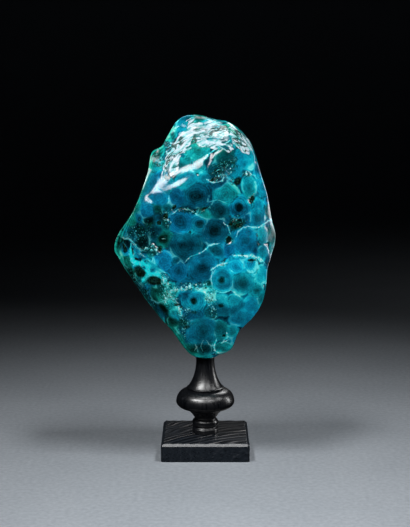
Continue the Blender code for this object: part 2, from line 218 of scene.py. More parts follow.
# Round growths on the front: x, z, radius, tone from 0 dark to 1 pale, and hue from -1 blue to 1 green.
# Those with a core then have its width as a share of the radius, how much darker it is, and how strong the
# light ring round it is
GROWTHS = (
    (-30, 178.5, 6.5, 0.56, -0.4, 0, 0, 0.1), (-32.5, 170.5, 5, 0.26, 0.7),
    (-18.5, 179, 6, 0.44, -0.6, 0.3, 0.05, 0.1), (-5.5, 180, 8, 0.38, 0, 0.5, 0.14, 0.2),
    (-16.5, 162.5, 8, 0.5, -0.5, 0.42, 0.14, 0.3), (-4, 161.5, 5.5, 0.5, 0, 0.4, 0.2, 0.4),
    (-1.5, 167.5, 4.5, 0.62, 0.6), (-27.5, 151, 5, 0.4, 0.7, 0.55, 0.25, 0.1), (-10, 156, 4, 0.66, 0.1),
    (-34, 156, 6, 0.32, 0.1, 0, 0, 0.1), (-25.5, 160, 3.5, 0.5, 0.5),
    (-26, 171, 4.5, 0.46, 0.2, 0.3, 0.1, 0.1), (-12, 171.5, 3.5, 0.42, 0.1),
    (8.5, 189.5, 6, 0.36, -0.2, 0, 0, 0.1), (29, 185, 6.5, 0.58, 0.3, 0.3, 0.06, 0.1),
    (13.5, 180.5, 8, 0.56, 0.5, 0.25, 0.05, 0.2), (22.5, 173, 6.5, 0.54, -0.1, 0.38, 0.26, 0.5),
    (8.5, 171, 6.5, 0.4, 0.3, 0.5, 0.06, 0.1), (35, 173.5, 5, 0.62, 0),
    (34.5, 164.5, 8, 0.6, 0, 0.35, 0.08, 0.1), (6, 156.5, 9, 0.39, -0.1, 0.36, 0.17, 0.2),
    (21, 161, 4.5, 0.24, 0.8), (26, 150.5, 9, 0.55, -0.3, 0.3, 0.16, 0.1), (39, 153, 6, 0.62, 0.2),
    (17, 150.5, 4, 0.5, 0.2), (42, 161.5, 4, 0.56, 0), (-12.5, 147, 10.5, 0.36, 0.1, 0.45, 0.08, 0.1),
    (-27.5, 136, 7, 0.56, -0.6, 0.3, 0.04, 0.1), (-18, 129.5, 6, 0.46, -0.5, 0.35, 0.1, 0.1),
    (-1.5, 133, 10, 0.38, -0.2, 0.4, 0.08, 0.1), (-33.5, 131, 5, 0.46, 0.1), (-36, 142.5, 4, 0.4, 0.6),
    (-23, 116.5, 5, 0.64, 0.4), (-7.5, 109.5, 7.5, 0.62, 0, 0.32, 0.46, 0.3), (-20, 136.5, 3.5, 0.42, 0),
    (7.5, 144, 6, 0.48, 0, 0.55, 0.08, 0.2), (15.5, 145, 4.5, 0.52, -0.7, 0, 0, 0.1),
    (25, 141, 2.5, 0.56, 0.1, 0.4, 0.2, 0.3), (19.5, 133.5, 6, 0.68, -0.3, 0.45, 0.03, 0.3),
    (30, 133.5, 6, 0.7, -0.2, 0.45, 0.03, 0.3), (10.5, 124.5, 7.5, 0.6, 0, 0.26, 0.38, 0.2),
    (25, 122.5, 8, 0.54, 0.2, 0.4, 0.08, 0.1), (34, 116, 4.5, 0.58, 0.3, 0.35, 0.12, 0.1),
    (38, 127, 6.5, 0.66, 0.1), (2, 115.5, 4.5, 0.72, 0.1), (38.5, 140.5, 5, 0.64, 0),
    (10.5, 107, 7, 0.5, 0.1, 0.24, 0.34, 0.1), (20, 107.5, 6.5, 0.48, 0.1, 0, 0, 0.1),
    (-11, 99.5, 6, 0.44, -0.3, 0.3, 0.04, 0.1), (-19.5, 99.5, 5, 0.62, 0.3),
    (-1.5, 88, 11, 0.5, 0.1, 0.35, 0.1, 0.1), (10, 89.5, 6.5, 0.46, 0.4, 0.3, 0.04, 0.1),
    (-14.5, 94.5, 4, 0.32, 0.7), (13.5, 74, 6, 0.52, 0.5, 0.4, 0.06, 0.3),
    (-9.5, 73, 5, 0.44, 0.6, 0.3, 0.04, 0.1), (-22.5, 87.5, 4.5, 0.42, 0.8), (-18.5, 82, 4.5, 0.42, 0.5),
    (-1.5, 74, 6, 0.44, 0.4, 0.3, 0.06, 0.1), (3.5, 80, 2.5, 0.48, 0.4, 0.4, 0.1, 0.3),
    (17.5, 88, 4.5, 0.58, 0.3), (4.5, 101, 4, 0.46, 0.4), (22, 97.5, 6, 0.54, 0), (30, 107, 6, 0.6, 0),
    (-38, 169.5, 6, 0.48, -0.4, 0, 0, 0.1), (-36.5, 164, 5, 0.22, 0.5), (-43, 156, 6, 0.32, 0, 0, 0, 0.1),
    (-37, 154.5, 2.5, 0.42, 0.2, 0.4, 0.1, 0.5), (-41, 148, 6, 0.24, 0.4), (-52, 146.5, 4, 0.5, 0.1),
    (-46.5, 141, 4, 0.48, 0), (-53, 133.5, 5, 0.36, 0.9), (-50, 126, 4.5, 0.28, 1), (-49, 163, 5, 0.6, 1),
    (-31, 165.5, 4.5, 0.4, 0), (-13.5, 227.5, 6, 0.54, 0), (-5, 209.5, 8, 0.6, 0.4, 0.3, 0.05, 0.1),
    (-16.5, 199.5, 6, 0.46, 0.4, 0.3, 0.1, 0.1), (-32.5, 207.5, 5, 0.56, 0.4),
    (-33, 199.5, 5, 0.6, 0.1, 0.3, 0.1, 0.1), (15, 223.5, 4.5, 0.52, 0.6), (27, 204, 8, 0.62, 0),
    (18, 196.5, 6, 0.58, 0, 0.3, 0.05, 0.2), (7.5, 196, 5.5, 0.38, 0.3, 0.3, 0.08, 0.3),
    (13, 205, 7, 0.44, 0.6), (0.5, 191.5, 4.5, 0.6, 0.1), (-12.5, 190, 6.5, 0.64, 0.1, 0, 0, 0.1),
    (-26, 186, 6, 0.58, 0.1, 0, 0, 0.1), (-29.5, 119, 4.5, 0.44, 0.5), (-32.5, 112, 6, 0.34, 0.9),
    (-25, 107, 5, 0.56, 0.3, 0, 0, 0.1), (-28, 103, 4.5, 0.3, 0.9), (-21.5, 94, 4.5, 0.36, 0.9),
)

# Open cavities, dark partly in their own colour and partly as painted shade, since the polishing left them
# shallow: x, z, half length, half width, tilt in degrees and depth, of which the polishing left a share
CAVITY_DEPTH = 0.12
CAVITIES = (
    (21, 189.5, 3, 2.3, 60, 2.6), (31, 177, 3, 1.9, 60, 2.6), (-26, 166.5, 2.2, 1.7, 60, 2.4),
    (-30.5, 162, 1.8, 1.5, 30, 2.2), (-20.5, 172.5, 2, 1.2, 60, 2), (-15.5, 171.5, 2, 0.8, 0, 1.6),
    (-1, 171.5, 3.2, 1, 20, 1.8), (21.5, 160.5, 1.6, 1.3, -30, 2), (16.5, 161.5, 1.4, 1.1, 0, 1.6),
    (15.5, 151, 2.6, 1.8, 65, 3), (-10, 156, 1, 0.9, 0, 1.6), (-44.2, 127.4, 5.2, 3.6, -35, 4),
    (-34.6, 122, 5.8, 3.4, 6, 4), (-30, 144.5, 2.4, 1.4, 80, 2), (30.5, 137.4, 3.2, 0.9, -8, 1),
    (-46.5, 136, 1.3, 1.1, 0, 1.3), (-54.5, 143, 3.6, 1.2, -60, 1.6), (-49, 141, 2.4, 0.8, -85, 1.6),
    (4.5, 190.5, 1.6, 0.9, 30, 1.6), (-18.5, 106.5, 2.9, 1, 15, 1.8), (-12.5, 90.5, 3, 1.2, 20, 1.6),
    (12.5, 85, 1.5, 1.2, 0, 1.6),
)

# Pale, crumbly crust: x, z, half length, half width, tilt in degrees and how thick it lies
CRUSTS = (
    (-36, 143.5, 6.5, 2.6, -15, 1), (-26.5, 122, 4, 7, 25, 0.9), (-10, 119.5, 14, 2.6, 4, 0.9),
    (-20.5, 112, 2.6, 5, 10, 0.8), (3, 112.5, 2.6, 5, -10, 0.8), (-15, 98, 2.2, 5.5, 35, 0.7),
    (6, 100, 2, 4.5, 10, 0.8), (-25, 163.5, 3.4, 2.2, -40, 0.8), (22, 162.5, 5, 3, -20, 0.5),
    (-2, 221, 8.5, 4.6, -12, 0.22), (8.5, 222.5, 7, 4, 20, 0.5), (23.5, 215.5, 8.5, 3.6, -52, 0.5),
    (-16.5, 216, 3.2, 2.6, 30, 0.5), (-8.5, 216, 3.4, 2.2, -20, 0.5), (-20, 208, 4.5, 2.2, 15, 0.5),
    (-24.5, 200.5, 2.6, 4.2, -20, 0.5), (-31, 202.5, 4, 3.4, 0, 0.6), (27.5, 194, 3.2, 1.6, -20, 0.9),
    (17.5, 189, 1.2, 3, 10, 0.7), (-24, 193, 3.5, 2, 40, 0.5), (12, 197, 12, 5.5, 35, 0.5),
    (-43, 155, 9, 7, 20, 0.5), (-14, 170.5, 8, 1.8, 0, 0.5), (-3, 170.5, 6, 2, 15, 0.5),
    (-27, 164.5, 3, 5, 20, 0.5), (22, 162.5, 6, 3.5, -20, 0.5), (-25, 106, 3.5, 6, 30, 0.5),
    (-43, 116, 16, 3.2, -54, 0.45), (-14, 95, 4, 5, 30, 0.5), (-27, 111, 4, 6, 30, 0.75),
    (4.5, 106, 3, 6, 0, 0.72), (-12, 103.5, 6, 2.4, -20, 0.72),
)

# Broad patches paler or darker than their growths; the paler ones over the lower right are in part painted
# light that falls more strongly there, and those on the crown add to its painted reflection: x, z, half
# length, half width, tilt and change of tone
PATCHES = (
    (-2, 220, 15, 9, -10, 0.14), (-18, 207, 8, 11, -20, 0.14), (23, 216, 8, 5, -52, 0.2),
    (29, 202, 4, 10, 14, 0.08), (11, 196.5, 11, 3.4, 38, -0.16), (-8, 231, 12, 3, 0, -0.28),
    (-21, 217, 1.6, 5, 20, -0.3), (0, 168, 24, 13, 0, -0.05), (38, 184, 4, 11, 11, 0.15),
    (-36, 171, 7, 4, 0, 0.12), (24, 170, 7, 4, 0, -0.13), (11, 163, 4, 4, 0, -0.1),
    (35, 163, 9, 4, 0, -0.08), (38, 154, 5, 4, 0, 0.07), (-14, 153, 5, 4, 0, 0.12),
    (35, 146, 6, 4, 0, -0.11), (8, 157, 8, 6, 0, -0.04), (17, 121, 9, 4, 0, -0.1), (12, 128, 4, 3, 0, -0.1),
    (-8, 136, 5, 5, 0, 0.12), (20, 171, 5, 4, 0, -0.1), (36, 187, 4, 8, 0, 0.1),
    (-42, 153, 12, 8, 20, -0.06), (-14, 138, 5, 4, 0, -0.1), (-55, 145, 6.5, 5, 0, -0.42),
    (-38, 138, 4, 3, 0, 0.1), (33, 128, 9, 8, 0, 0.13), (5, 137, 10, 4, 0, 0.14), (-7, 118, 13, 3, 4, 0.14),
    (16, 112, 13, 6, 0, 0.17), (12, 101, 7, 4, 0, -0.12), (3, 111, 4, 5, 0, 0.14),
    (-36, 135, 6, 4, -35, 0.1), (-29, 127, 7, 4, -30, 0.18), (-26, 198, 7, 8, 0, 0.15),
    (20, 222, 6, 4, -45, 0.3), (-20, 214, 5, 5, 0, 0.14), (-4, 197, 6, 3, 0, 0.12),
    (-27, 110, 7, 5, 0, 0.25), (-20, 101, 4, 6, 30, 0.06), (-14, 171, 8, 2, 0, -0.14),
    (-13.5, 113.5, 2, 4, -30, -0.24), (-3, 171, 6, 2.2, 15, -0.14), (-27, 164, 3, 5.5, 20, -0.18),
    (22, 162.5, 6, 3.5, -20, -0.16), (-44, 116, 16, 3.2, -54, -0.22), (-2, 75, 12, 3.5, 0, -0.16),
    (0, 84, 9, 4, 0, -0.05), (-29, 102, 3, 10, 38, -0.2), (31, 195, 3, 10, 12, 0.12),
    (-33, 206, 4, 4, 0, -0.16), (29, 137, 5, 4, 0, -0.07), (-23, 146, 4, 4, 0, -0.07),
    (3, 181, 3, 4, 0, -0.12),
)

# White silica plates with dark slits between them; on the crown their white is in part a painted reflection
# of
# the lamp above: x, z, half length, half width, tilt and share covered
SILICA_PLATES_AND_GLARE = (
    (-7, 224.5, 5, 5, 0, 1), (8, 223.5, 9, 5.2, -20, 0.85), (-13, 218, 6.5, 3.6, 20, 0.9),
    (2, 215, 9, 5, -10, 0.75), (1, 221.5, 7, 3.8, 0, 1.3), (13, 213, 6, 4, -30, 0.65),
    (-16.5, 211.5, 7.5, 4.4, 10, 1.05), (-22, 202, 5.2, 9, -12, 1.05), (24, 216, 9.5, 5, -52, 1.1),
    (19, 223.5, 4.5, 3, -45, 1.1), (-26, 193, 4, 4, 40, 0.7), (-35, 203, 5, 7, 0, 0.35),
)
PLATE_ARCH = (4.0, 190.0)
PLATE_STRETCH = 11

# Where the polish is flattest, along the ridge under the crown: x, z, half length, half width and tilt
CALM_RIDGE = (3.0, 205.0, 16.0, 8.0, 33)

# A vein's colour reaches this many half widths from its middle
VEIN_REACH = 3.4

# Pale veins that follow the growths' borders: strength, half width, and the x and z of each point
VEINS = (
    (0.8, 0.35, -21.5, 168, -18, 171, -14, 171.8, -9.5, 170.5, -6, 167.8),
    (0.6, 0.3, 12.2, 162.4, 14.6, 160.6, 16.2, 156.4),
    (0.7, 0.4, 20.5, 153.5, 21.6, 156.8, 24.5, 159, 28, 160),
    (1, 0.5, 28, 160, 32, 158.8, 36, 158.5, 40, 160.8, 43.8, 162.4),
    (0.5, 0.3, -12.8, 136.9, -10, 139.6, -6.2, 141.2, -2.1, 142.8),
    (0.9, 0.45, -2.1, 142.8, 0.8, 145, 2.2, 147, 5.5, 148.4, 8, 148.6),
    (0.8, 0.45, 18.2, 140.9, 23.5, 140.4), (1, 0.95, 26.5, 140.6, 30.5, 140.6, 34, 138.8, 37.4, 136),
    (0.9, 0.75, 4.2, 131.3, 8, 134, 11.8, 135.2), (0.5, 0.3, 4.4, 130, 3.7, 125, 4.6, 119.6),
    (0.6, 0.4, 17.8, 116.9, 22.2, 113.4), (0.8, 0.35, 7.4, 81.5, 6, 77.5, 6.4, 73.5, 9.8, 71, 15.5, 73),
    (0.22, 0.4, -7, 78, -5.9, 76, -6.8, 74.2), (0.2, 0.4, -2, 73.6, -3, 76.4, -1.8, 80),
    (0.25, 0.4, 1.2, 80, 2.4, 78, 5, 76.8), (0.7, 0.35, 12.5, 81.6, 15, 84, 14.2, 87.8),
    (0.7, 0.35, 11, 79.4, 15.2, 81.6), (0.8, 0.35, 1.5, 190.5, 5.5, 188.6, 11, 189.6, 12.4, 192.6),
    (0.8, 0.5, 29, 195, 32, 192.6), (0.9, 0.55, 1.5, 207, 6.5, 210.4, 11, 213.2, 15.5, 215.8),
    (0.6, 0.35, -54.5, 149, -51, 149.6, -48.4, 147.6, -46, 145.8), (0.5, 0.3, -44, 140.5, -40, 138.6),
    (0.4, 0.25, 2.9, 176, 7.6, 177.4, 12.8, 175.6), (0.4, 0.25, -24.2, 175.7, -24, 180),
    (1.1, 2.4, -49.8, 140.5, -49.4, 134.6, -46.4, 132.8, -42, 134, -38.6, 132, -37.6, 128.6),
    (1.1, 2.2, -39, 128, -36, 127.4, -31.5, 127, -28.4, 124.6, -27, 121.6),
    (1.1, 1.3, -38.2, 128, -40, 125.2, -41.4, 122.6), (0.5, 0.2, -28.3, 151, -26.8, 151.2),
    (0.95, 0.75, -26, 110, -24.5, 114, -22, 116.6, -18.6, 116.8, -13.7, 117.6, -8.4, 119.2),
    (0.95, 0.65, -8.4, 119.2, -3.1, 118.4, 0.5, 115.5, 3.2, 112.6, 6, 111),
    (0.95, 0.9, -18.8, 107.6, -17.4, 103.6, -16.2, 100.4),
    (0.55, 0.45, -55.5, 150, -52, 149.6, -48.5, 147.4, -45.4, 144.4, -42, 143),
)

# The plinth: side, height, chamfer round the top, softened corners, and the mortise's radius and depth
PLINTH_SIDE = 60.0
PLINTH_HEIGHT = 12.5
PLINTH_CHAMFER = 1.7
PLINTH_CORNER = 0.7
TENON_RADIUS = 5.0
TENON_LENGTH = 7.5
GAP = 0.3

# The stem's mouldings, as radii and heights above the plinth's underside
PIN_HOLE_RADIUS = 1.8
PIN_HOLE_DEPTH = 16.3
NECK_RADIUS = 6.3
NECK_TOP = 66.5
NECK_EDGE = 0.4
TRUMPET_TOP = 64.0
TRUMPET_FLARE = 15.3
TRUMPET_FALL = 24.0
RIM_RADIUS = 12.9
RIM_HEIGHT = 44.6
RIM_EDGE = 0.5
GROOVE_RADIUS = 11.9
GROOVE_HEIGHT = 43.9
TORUS_RADIUS = 20.2
TORUS_MIDDLE = 34.8
TORUS_RISE = 8.6
TORUS_DROP = 5.2
TORUS_TOP_CORE = 12.4
TORUS_UNDER_CORE = 11.0
CAVETTO_TOP = 29.2
CAVETTO_FLARE = 5.0
CAVETTO_POWER = 1.35
WAIST_RADIUS = 7.4
WAIST_HEIGHT = 22.9
BEAD_CORE = 6.6
BEAD_RADIUS = 9.1
BEAD_MIDDLE = 19.6
BEAD_HALF_HEIGHT = 3.0
FOOT_RADIUS = 9.0
FOOT_TOP = 16.4
FOOT_EDGE = 0.8

# Where each round moulding starts and ends, in degrees from its outermost point, with its number of steps
RIM_ARC = (45, -60, 6)
TORUS_OVER_ARC = (82, 0, 30)
TORUS_UNDER_ARC = (-2, -75, 22)
BEAD_ARC = (58, -62, 20)
TRUMPET_STEPS = 40
CAVETTO_STEPS = 16

# The stem's mesh, its tool marks, and where the tree's heart lay from its axis
STEM_ROWS = 460
STEM_SIDES = 144
TOOL_MARK_PITCH = 0.9
TOOL_MARK_DEPTH = 0.012
MARK_WANDER = 3
WELD = 0.001
STEM_HEART = (14.0, 18.0)

# The plinth's mesh steps, and its growth rings: how far in front of its middle the tree's heart lay, how
# steeply the grain crosses the block and how it bends, how deep the heart lay, the rings' spacing and how
# far they stand proud, how they wander, the pores' relief, where the mesh turns from the square side to the
# round mortise, and from how many degrees an edge is sharp
PLINTH_STEPS = 132
PLINTH_STEPS_UP = 30
RING_ARCH = -75.0
RING_SLANT = 0.72
RING_BEND = 0.008
RING_HEART_DEPTH = 14.0
RING_SPACING = 4.8
RING_RELIEF = 0.14
RING_WANDER = 4.2
RING_WANDER_SIZE = 11.0
PORE_RELIEF = 0.04
MORTISE_ROUNDING = (8.6, 5.6)
SHARP_ANGLE = 40

# The stained wood's colours, from its pores to its hardest lines. The plinth's are lighter and bluer, a
# painted reflection of the floor, and its palest are painted glints on the raised rings of its top
STEM_BLACKS = ((0.3, "020305"), (0.6, "07080B"), (0.75, "101115"), (0.95, "3A3B40"))
PLINTH_BLACKS_AND_SHEEN = ((0.2, "07090C"), (0.6, "12171D"), (0.8, "2A2B2E"), (1.0, "7C7876"))

# The stone's colours: three hues from dark to pale, then veins, silica, crumbs, and pits with their painted
# shade; the silica's white is in part a painted reflection on the crown
STONE_COLOURS = {
    "blue": (
        (0, "000E1C"), (0.2, "01273F"), (0.4, "034468"), (0.55, "065E8C"), (0.7, "087CB2"),
        (0.82, "0E9CCC"), (0.92, "1CBEDC"), (1, "66DCEC"),
    ),
    "teal": (
        (0, "00131B"), (0.2, "023243"), (0.4, "045068"), (0.55, "066985"), (0.7, "068BA8"),
        (0.82, "0CA9C2"), (0.92, "18CAD8"), (1, "66E4E6"),
    ),
    "green": (
        (0, "010F0B"), (0.2, "03302B"), (0.4, "06524B"), (0.55, "0A7468"), (0.7, "0E998C"),
        (0.85, "28C0A8"), (1, "7CE0C2"),
    ),
    "vein": ((0.38, "0EEAF0"), (0.50, "6CDCDE"), (0.66, "DCF8F2")),
    "silica": ((0.34, "3EACA8"), (0.43, "92CED2"), (0.50, "BCDAE4"), (0.62, "DEE8F0")),
    "crumbs": ((0.35, "28CCD6"), (0.5, "62DEE0"), (0.66, "CCF2EC")),
    "pit_and_shade": ((0.35, "010805"), (0.5, "051408"), (0.7, "1B3A22")),
}
LAYER_SPACING = 1.4

# Loose grains in the crust: how many, their smallest and largest radius, and how thick a crust has none and
# all
GRAINS_PER_SQUARE_METRE = 300000
GRAIN_RADII = (0.12, 0.30)
GRAIN_CRUST = (0.55, 1.0)

# The kinds of node that the trees are made of, and how some of them are set
MATH, VECTOR_MATH = "ShaderNodeMath", "ShaderNodeVectorMath"
MIX, RAMP = "ShaderNodeMix", "ShaderNodeValToRGB"
NOISE, RANGE, BUMP = "ShaderNodeTexNoise", "ShaderNodeMapRange", "ShaderNodeBump"
SPLIT, JOIN = "ShaderNodeSeparateXYZ", "ShaderNodeCombineXYZ"
COORDINATES, ATTRIBUTE = "ShaderNodeTexCoord", "ShaderNodeAttribute"
PLUS, MINUS, TIMES, DIVIDE, TIMES_PLUS, LARGER, SMALLER, ABSOLUTE, SINE, COSINE, ANGLE_OF, LENGTH = [
    {"operation": name}
    for name in (
        "ADD", "SUBTRACT", "MULTIPLY", "DIVIDE", "MULTIPLY_ADD", "MAXIMUM", "MINIMUM", "ABSOLUTE", "SINE",
        "COSINE", "ARCTAN2", "LENGTH",
    )
]
SOFT = {"interpolation_type": "SMOOTHSTEP"}
COLOURS = {"data_type": "RGBA"}


def linear(value):
    """One channel of a screen colour, from 0 to 255, as light."""
    share = value / 255
    return share / 12.92 if share <= 0.04045 else ((share + 0.055) / 1.055) ** 2.4


def colour(code):
    """A screen colour such as "0B6856" as linear red, green, blue and alpha."""
    return tuple(linear(int(code[i : i + 2], 16)) for i in (0, 2, 4)) + (1.0,)


def add(tree, kind, settings=None, links=None, stops=None):
    """Adds one node, with its settings, what feeds its sockets, by name or in turn, and a ramp's stops.
    Gives its outputs."""
    node = tree.nodes.new(kind)
    for name, value in (settings or {}).items():
        setattr(node, name, value)
    links = links or {}
    for socket, value in links.items() if isinstance(links, dict) else enumerate(links):
        if isinstance(value, bpy.types.NodeSocket):
            tree.links.new(value, node.inputs[socket])
        else:
            node.inputs[socket].default_value = value
    for i, (place, code) in enumerate(stops or ()):
        element = node.color_ramp.elements[i] if i < 2 else node.color_ramp.elements.new(place)
        element.position = place
        element.color = colour(code)
    return node.outputs


def smooth_step(low, high, values):
    """0 below low, 1 above high, and a soft rise between."""
    t = np.clip((values - low) / (high - low), 0, 1)
    return t * t * (3 - 2 * t)


def noise_field(points, size, octaves=1, shift=0.0):
    """Smooth noise from about -1 to 1 at each point, whose lumps are about size across."""
    at = [Vector(p) for p in points / size + shift]
    if octaves == 1:
        return np.array([noise.noise(p) for p in at])
    return np.array([noise.fractal(p, 1.0, 2.0, octaves) for p in at])


def noise_shift(points, size, shift=0.0):
    """A smooth random shift for each point, each way from about -1 to 1."""
    return np.array([noise.noise_vector(Vector(p)) for p in points / size + shift])


def ellipse_distance(points, x, z, length, width, tilt):
    """0 at the middle of a tilted ellipse on the front, 1 on its edge."""
    turn = math.radians(tilt)
    across = points[:, 0] - x
    up = points[:, 2] - z
    along = across * math.cos(turn) + up * math.sin(turn)
    aside = up * math.cos(turn) - across * math.sin(turn)
    return np.hypot(along / length, aside / width)


def outline_radius(angles):
    """From the stone's middle to its outline, on a smooth closed curve through the points."""
    points = np.array(OUTLINE, float) - (STONE_MIDDLE[0], STONE_MIDDLE[2])
    knots = np.arctan2(points[:, 1], points[:, 0])
    order = np.argsort(knots)
    knots = knots[order]
    radii = np.hypot(points[order, 0], points[order, 1])
    knots = np.concatenate([knots[-2:] - TURN, knots, knots[:2] + TURN])
    radii = np.concatenate([radii[-2:], radii, radii[:2]])
    slopes = np.gradient(radii, knots)
    at = np.searchsorted(knots, angles, side="right") - 1
    width = knots[at + 1] - knots[at]
    t = (angles - knots[at]) / width
    start = (1 + 2 * t) * (1 - t) ** 2 * radii[at] + t * (1 - t) ** 2 * width * slopes[at]
    end = t * t * (3 - 2 * t) * radii[at + 1] + t * t * (t - 1) * width * slopes[at + 1]
    return start + end


def flank_depth(x, z, share, swell, fullness, softness, facets):
    """From the outline's plane to the surface: a swelling, cut by flats that blend softly."""
    rounded = swell * (1 - np.minimum(share, 1) ** fullness) ** (1 / fullness)
    blend = np.maximum(rounded, TINY) ** -softness
    for facet_x, facet_z, depth, fall, slope in facets:
        away = (x - facet_x) * math.cos(math.radians(fall)) + (z - facet_z) * math.sin(math.radians(fall))
        flat = depth - math.tan(math.radians(slope)) * away
        blend += np.maximum(flat, 1) ** -softness
    return blend ** (-1 / softness)


def broad_form(ball):
    """The nugget's smooth form, for points of a unit ball whose -Y pole is the middle of the face."""
    share = np.hypot(ball[:, 0], ball[:, 2])
    angles = np.arctan2(ball[:, 2], ball[:, 0])
    wrapped = [(angles + shift + math.pi) % TURN - math.pi for shift in SMOOTHING_ANGLES]
    smooth = np.mean([outline_radius(a) for a in wrapped], axis=0)
    foot = np.exp(-(((angles + math.pi / 2) / FOOT_SPREAD) ** 2))
    detail = np.maximum((1 - np.abs(ball[:, 1])) ** EDGE_DETAIL_FADE, foot)
    reach = share * (smooth + (outline_radius(angles) - smooth) * detail)
    x = reach * np.cos(angles) + STONE_MIDDLE[0]
    z = reach * np.sin(angles) + STONE_MIDDLE[2]
    front = flank_depth(x, z, share, FRONT_SWELL, FRONT_FULLNESS, FRONT_SOFTNESS, FRONT_FACETS)
    back = flank_depth(x, z, share, BACK_SWELL, BACK_FULLNESS, BACK_SOFTNESS, BACK_FACETS)
    flat = np.column_stack([x, x, z])
    for *ellipse, depth in HOLLOWS:
        front -= np.minimum(depth * np.exp(-(ellipse_distance(flat, *ellipse) ** 2)), front / 2)
    depth = np.where(ball[:, 1] < 0, -front, back)
    depth += EDGE_WANDER * np.sin(2 * angles + EDGE_WANDER_START) * (1 - foot) * share**3
    return np.column_stack([x, depth, z])


def six_grids(across, through, up):
    """A cube from -1 to 1, of six welded grids: points, faces, and each corner's place on a flat map."""
    axis = {"x": (1, 0, 0), "y": (0, 1, 0), "z": (0, 0, 1)}
    patches = (
        ("-y", across, "x", up, "z", (0.0, 0.0, 0.5, 0.62)),
        ("+y", up, "z", across, "x", (0.5, 0.0, 0.5, 0.62)),
        ("-x", up, "z", through, "y", (0.0, 0.62, 0.5, 0.19)),
        ("+x", through, "y", up, "z", (0.0, 0.81, 0.5, 0.19)),
        ("-z", through, "y", across, "x", (0.5, 0.62, 0.5, 0.19)),
        ("+z", across, "x", through, "y", (0.5, 0.81, 0.5, 0.19)),
    )
    points, faces, places = [], [], []
    start = 0
    for facing, first, first_axis, second, second_axis, (left, low, width, height) in patches:
        a, b = np.meshgrid(first, second, indexing="ij")
        middle = (1.0 if facing[0] == "+" else -1.0) * np.array(axis[facing[1]])
        grid = middle + a[..., None] * axis[first_axis] + b[..., None] * axis[second_axis]
        points.append(grid.reshape(-1, 3))
        rows, columns = a.shape
        index = start + np.arange(rows * columns).reshape(rows, columns)
        corners = [index[:-1, :-1], index[1:, :-1], index[1:, 1:], index[:-1, 1:]]
        faces.append(np.stack(corners, axis=-1).reshape(-1, 4))
        u, v = np.meshgrid(np.linspace(0, 1, rows), np.linspace(0, 1, columns), indexing="ij")
        if (rows > columns) != (width > height):
            u, v = v, u
        u = left + MAP_GUTTER + u * (width - 2 * MAP_GUTTER)
        v = low + MAP_GUTTER + v * (height - 2 * MAP_GUTTER)
        places.append(np.stack([u, v], -1).reshape(-1, 2))
        start += rows * columns
    points, faces = np.concatenate(points), np.concatenate(faces)
    corner_places = np.concatenate(places)[faces]
    _, kept, welded = np.unique(np.round(points, 7), axis=0, return_index=True, return_inverse=True)
    return points[kept], welded.reshape(-1)[faces], corner_places


def point_normals(points, faces):
    """Each point's outward direction, from the faces round it."""
    corners = points[faces]
    facing = np.cross(corners[:, 2] - corners[:, 0], corners[:, 3] - corners[:, 1])
    normals = np.zeros_like(points)
    for corner in range(4):
        np.add.at(normals, faces[:, corner], facing)
    return normals / np.linalg.norm(normals, axis=1, keepdims=True)


def all_growths(surface, front):
    """Every round growth as middle, radius and look: the ones placed on the front, then scattered ones."""
    rng = np.random.default_rng(SCATTER_SEED)
    placed = []
    for x, z, radius, pale, tint, *core in GROWTHS:
        distance = np.hypot(surface[:, 0] - x, surface[:, 2] - z) + np.where(front, 0, 1000)
        placed.append((*surface[np.argmin(distance)], radius, pale, *(core or (0, 0, 0)), tint))
    placed = np.array(placed)
    count = len(placed)
    for candidate in rng.permutation(len(surface))[:SCATTER_TRIES]:
        radius = rng.uniform(4.5, 10.5) if len(placed) - count < LARGE_SCATTERED else rng.uniform(2.5, 5.0)
        middle = surface[candidate]
        apart = np.linalg.norm(placed[:, :3] - middle, axis=1)
        if np.any(apart < SCATTER_GAP * (placed[:, 3] + radius)):
            continue
        pupil = rng.uniform(0.25, 0.5)
        core = rng.choice([0.0, 0.06, 0.12, 0.3])
        look = (rng.uniform(0.40, 0.60), pupil, core, rng.uniform(0.0, 0.6) ** 2, rng.uniform(-0.6, 0.6))
        placed = np.vstack([placed, (*middle, radius, *look)])
    return placed


